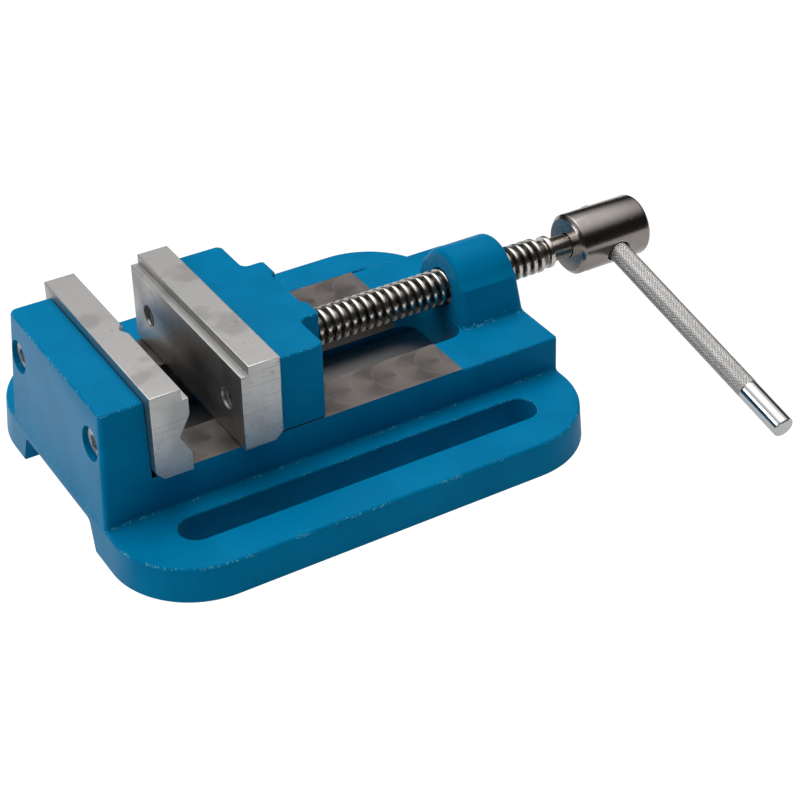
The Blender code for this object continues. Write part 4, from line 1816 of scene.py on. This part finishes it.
@dataclass
class Studio:
    """Pale floor, soft sky, lamps and camera."""

    eye: Point = (-230.8, -619.6, 490.1)
    tilt: float = 56.037
    roll: float = 0.071
    turn: float = -32.033
    lens: float = 88.89
    sensor: float = 36.0
    shift: Flat = (-0.0420, -0.0317)
    floor_size: float = 12.0
    floor_colour: Colour = (0.42, 0.42, 0.42, 1.0)
    floor_glow: float = 0.42
    floor_shown: float = 1.1
    inset: tuple[Point, Point] = ((-8.0, -74.0, 0.0), (180.0, 74.0, 0.0))
    inset_colour: Colour = (0.50, 0.46, 0.44, 1.0)
    drop: Flat = (0.0003, 0.0002)
    sky_axis: Point = (0.05, 0.2, 0.96)
    sky_span: Flat = (0.5, 1.0)
    zenith: float = 1.55
    horizon: float = 0.02
    lamps: tuple[Lamp, ...] = (
        Lamp("left_softbox", (-1.4, 0.3, 0.8), 0.8, 7.0),
        Lamp("top_softbox", (0.3, 0.5, 1.5), 0.9, 6.0),
    )

    def camera(self) -> None:
        """Place the camera."""
        data = bpy.data.cameras.new("studio_camera")
        data.lens = self.lens
        data.sensor_width = self.sensor
        data.shift_x, data.shift_y = self.shift
        obj = bpy.data.objects.new("studio_camera", data)
        obj.location = TO_FRAME @ Vector(self.eye)
        angles = [math.radians(a) for a in (self.tilt, self.roll, self.turn)]
        obj.rotation_euler = Euler(angles, "XYZ")
        bpy.context.scene.collection.objects.link(obj)
        bpy.context.scene.camera = obj

    def sheet(self, name: str, low: Flat, high: Flat, height: float) -> bpy.types.Object:
        """Lay one flat sheet.

        Args:
            name: Its name.
            low: Lowest corner in X and Y, in metres.
            high: Highest corner in X and Y, in metres.
            height: Its height in metres.

        Returns:
            The sheet.
        """
        bm = bmesh.new()
        corners = ((low[0], low[1]), (high[0], low[1]), (high[0], high[1]), (low[0], high[1]))
        bm.faces.new([bm.verts.new((x, y, height)) for x, y in corners])
        obj = to_mesh(name, bm)
        return obj

    def floor(self) -> None:
        """Lay the bright floor, and the plain paper that shows through the bed's slot."""
        half = self.floor_size / 2
        floor_drop, inset_drop = self.drop
        wide = self.sheet("studio_floor", (-half, -half), (half, half), DATUM.z - floor_drop)
        paper = Graph("studio_paper")
        paper.surface(
            Base_Color=self.floor_colour,
            Roughness=0.9,
            Specular_IOR_Level=0.1,
            Emission_Color=WHITE,
            Emission_Strength=self.floor_glow,
        )
        glow = paper.node("ShaderNodeEmission", values={"Strength": self.floor_shown})
        rays = paper.node("ShaderNodeLightPath")
        both = paper.node(
            "ShaderNodeMixShader",
            values={0: rays.outputs["Is Camera Ray"], 1: paper.shader.outputs[0],
                    2: glow.outputs[0]},
        )
        paper.feed(paper.output.inputs[0], both.outputs[0])
        wide.data.materials.append(paper.material)
        low, high = ((TO_FRAME @ Vector(corner)).to_2d() for corner in self.inset)
        under = self.sheet("studio_inset", low, high, DATUM.z - inset_drop)
        inset = Graph("studio_inset_paper")
        inset.surface(Base_Color=self.inset_colour, Roughness=0.9)
        under.data.materials.append(inset.material)

    def sky(self) -> None:
        """Light the room with a sky that is bright overhead and dim at eye height."""
        world = bpy.data.worlds.new("studio_sky")
        bpy.context.scene.world = world
        world.use_nodes = True
        tree = Tree(world.node_tree)
        place = tree.node("ShaderNodeTexCoord")
        height = tree.node(
            "ShaderNodeVectorMath",
            {"operation": "DOT_PRODUCT"},
            {0: place.outputs["Generated"], 1: Vector(self.sky_axis).normalized()},
        )
        low, high = self.sky_span
        strength = tree.node(
            "ShaderNodeMapRange",
            {"interpolation_type": "SMOOTHSTEP"},
            {"Value": height.outputs["Value"], "From Min": low, "From Max": high,
             "To Min": self.horizon, "To Max": self.zenith},
        )
        background = world.node_tree.nodes["Background"]
        tree.feed(background.inputs["Strength"], strength.outputs[0])
        tree.feed(background.inputs["Color"], WHITE)

    def build(self) -> None:
        """Set up the whole studio."""
        self.camera()
        self.floor()
        self.sky()
        for lamp in self.lamps:
            lamp.hang()
        bpy.context.scene.view_settings.view_transform = "Standard"


def main() -> None:
    """Build every piece of the vise and the studio around it."""
    logging.basicConfig(level=logging.INFO, format="%(name)s: %(message)s")
    Studio().build()
    BaseCasting().build()
    JawPlates().build()
    MovingJaw().build()
    LeadScrew().build()
    Hub().build()
    HandleBar().build()
    SmallHardware().build()


if __name__ == "__main__":
    main()
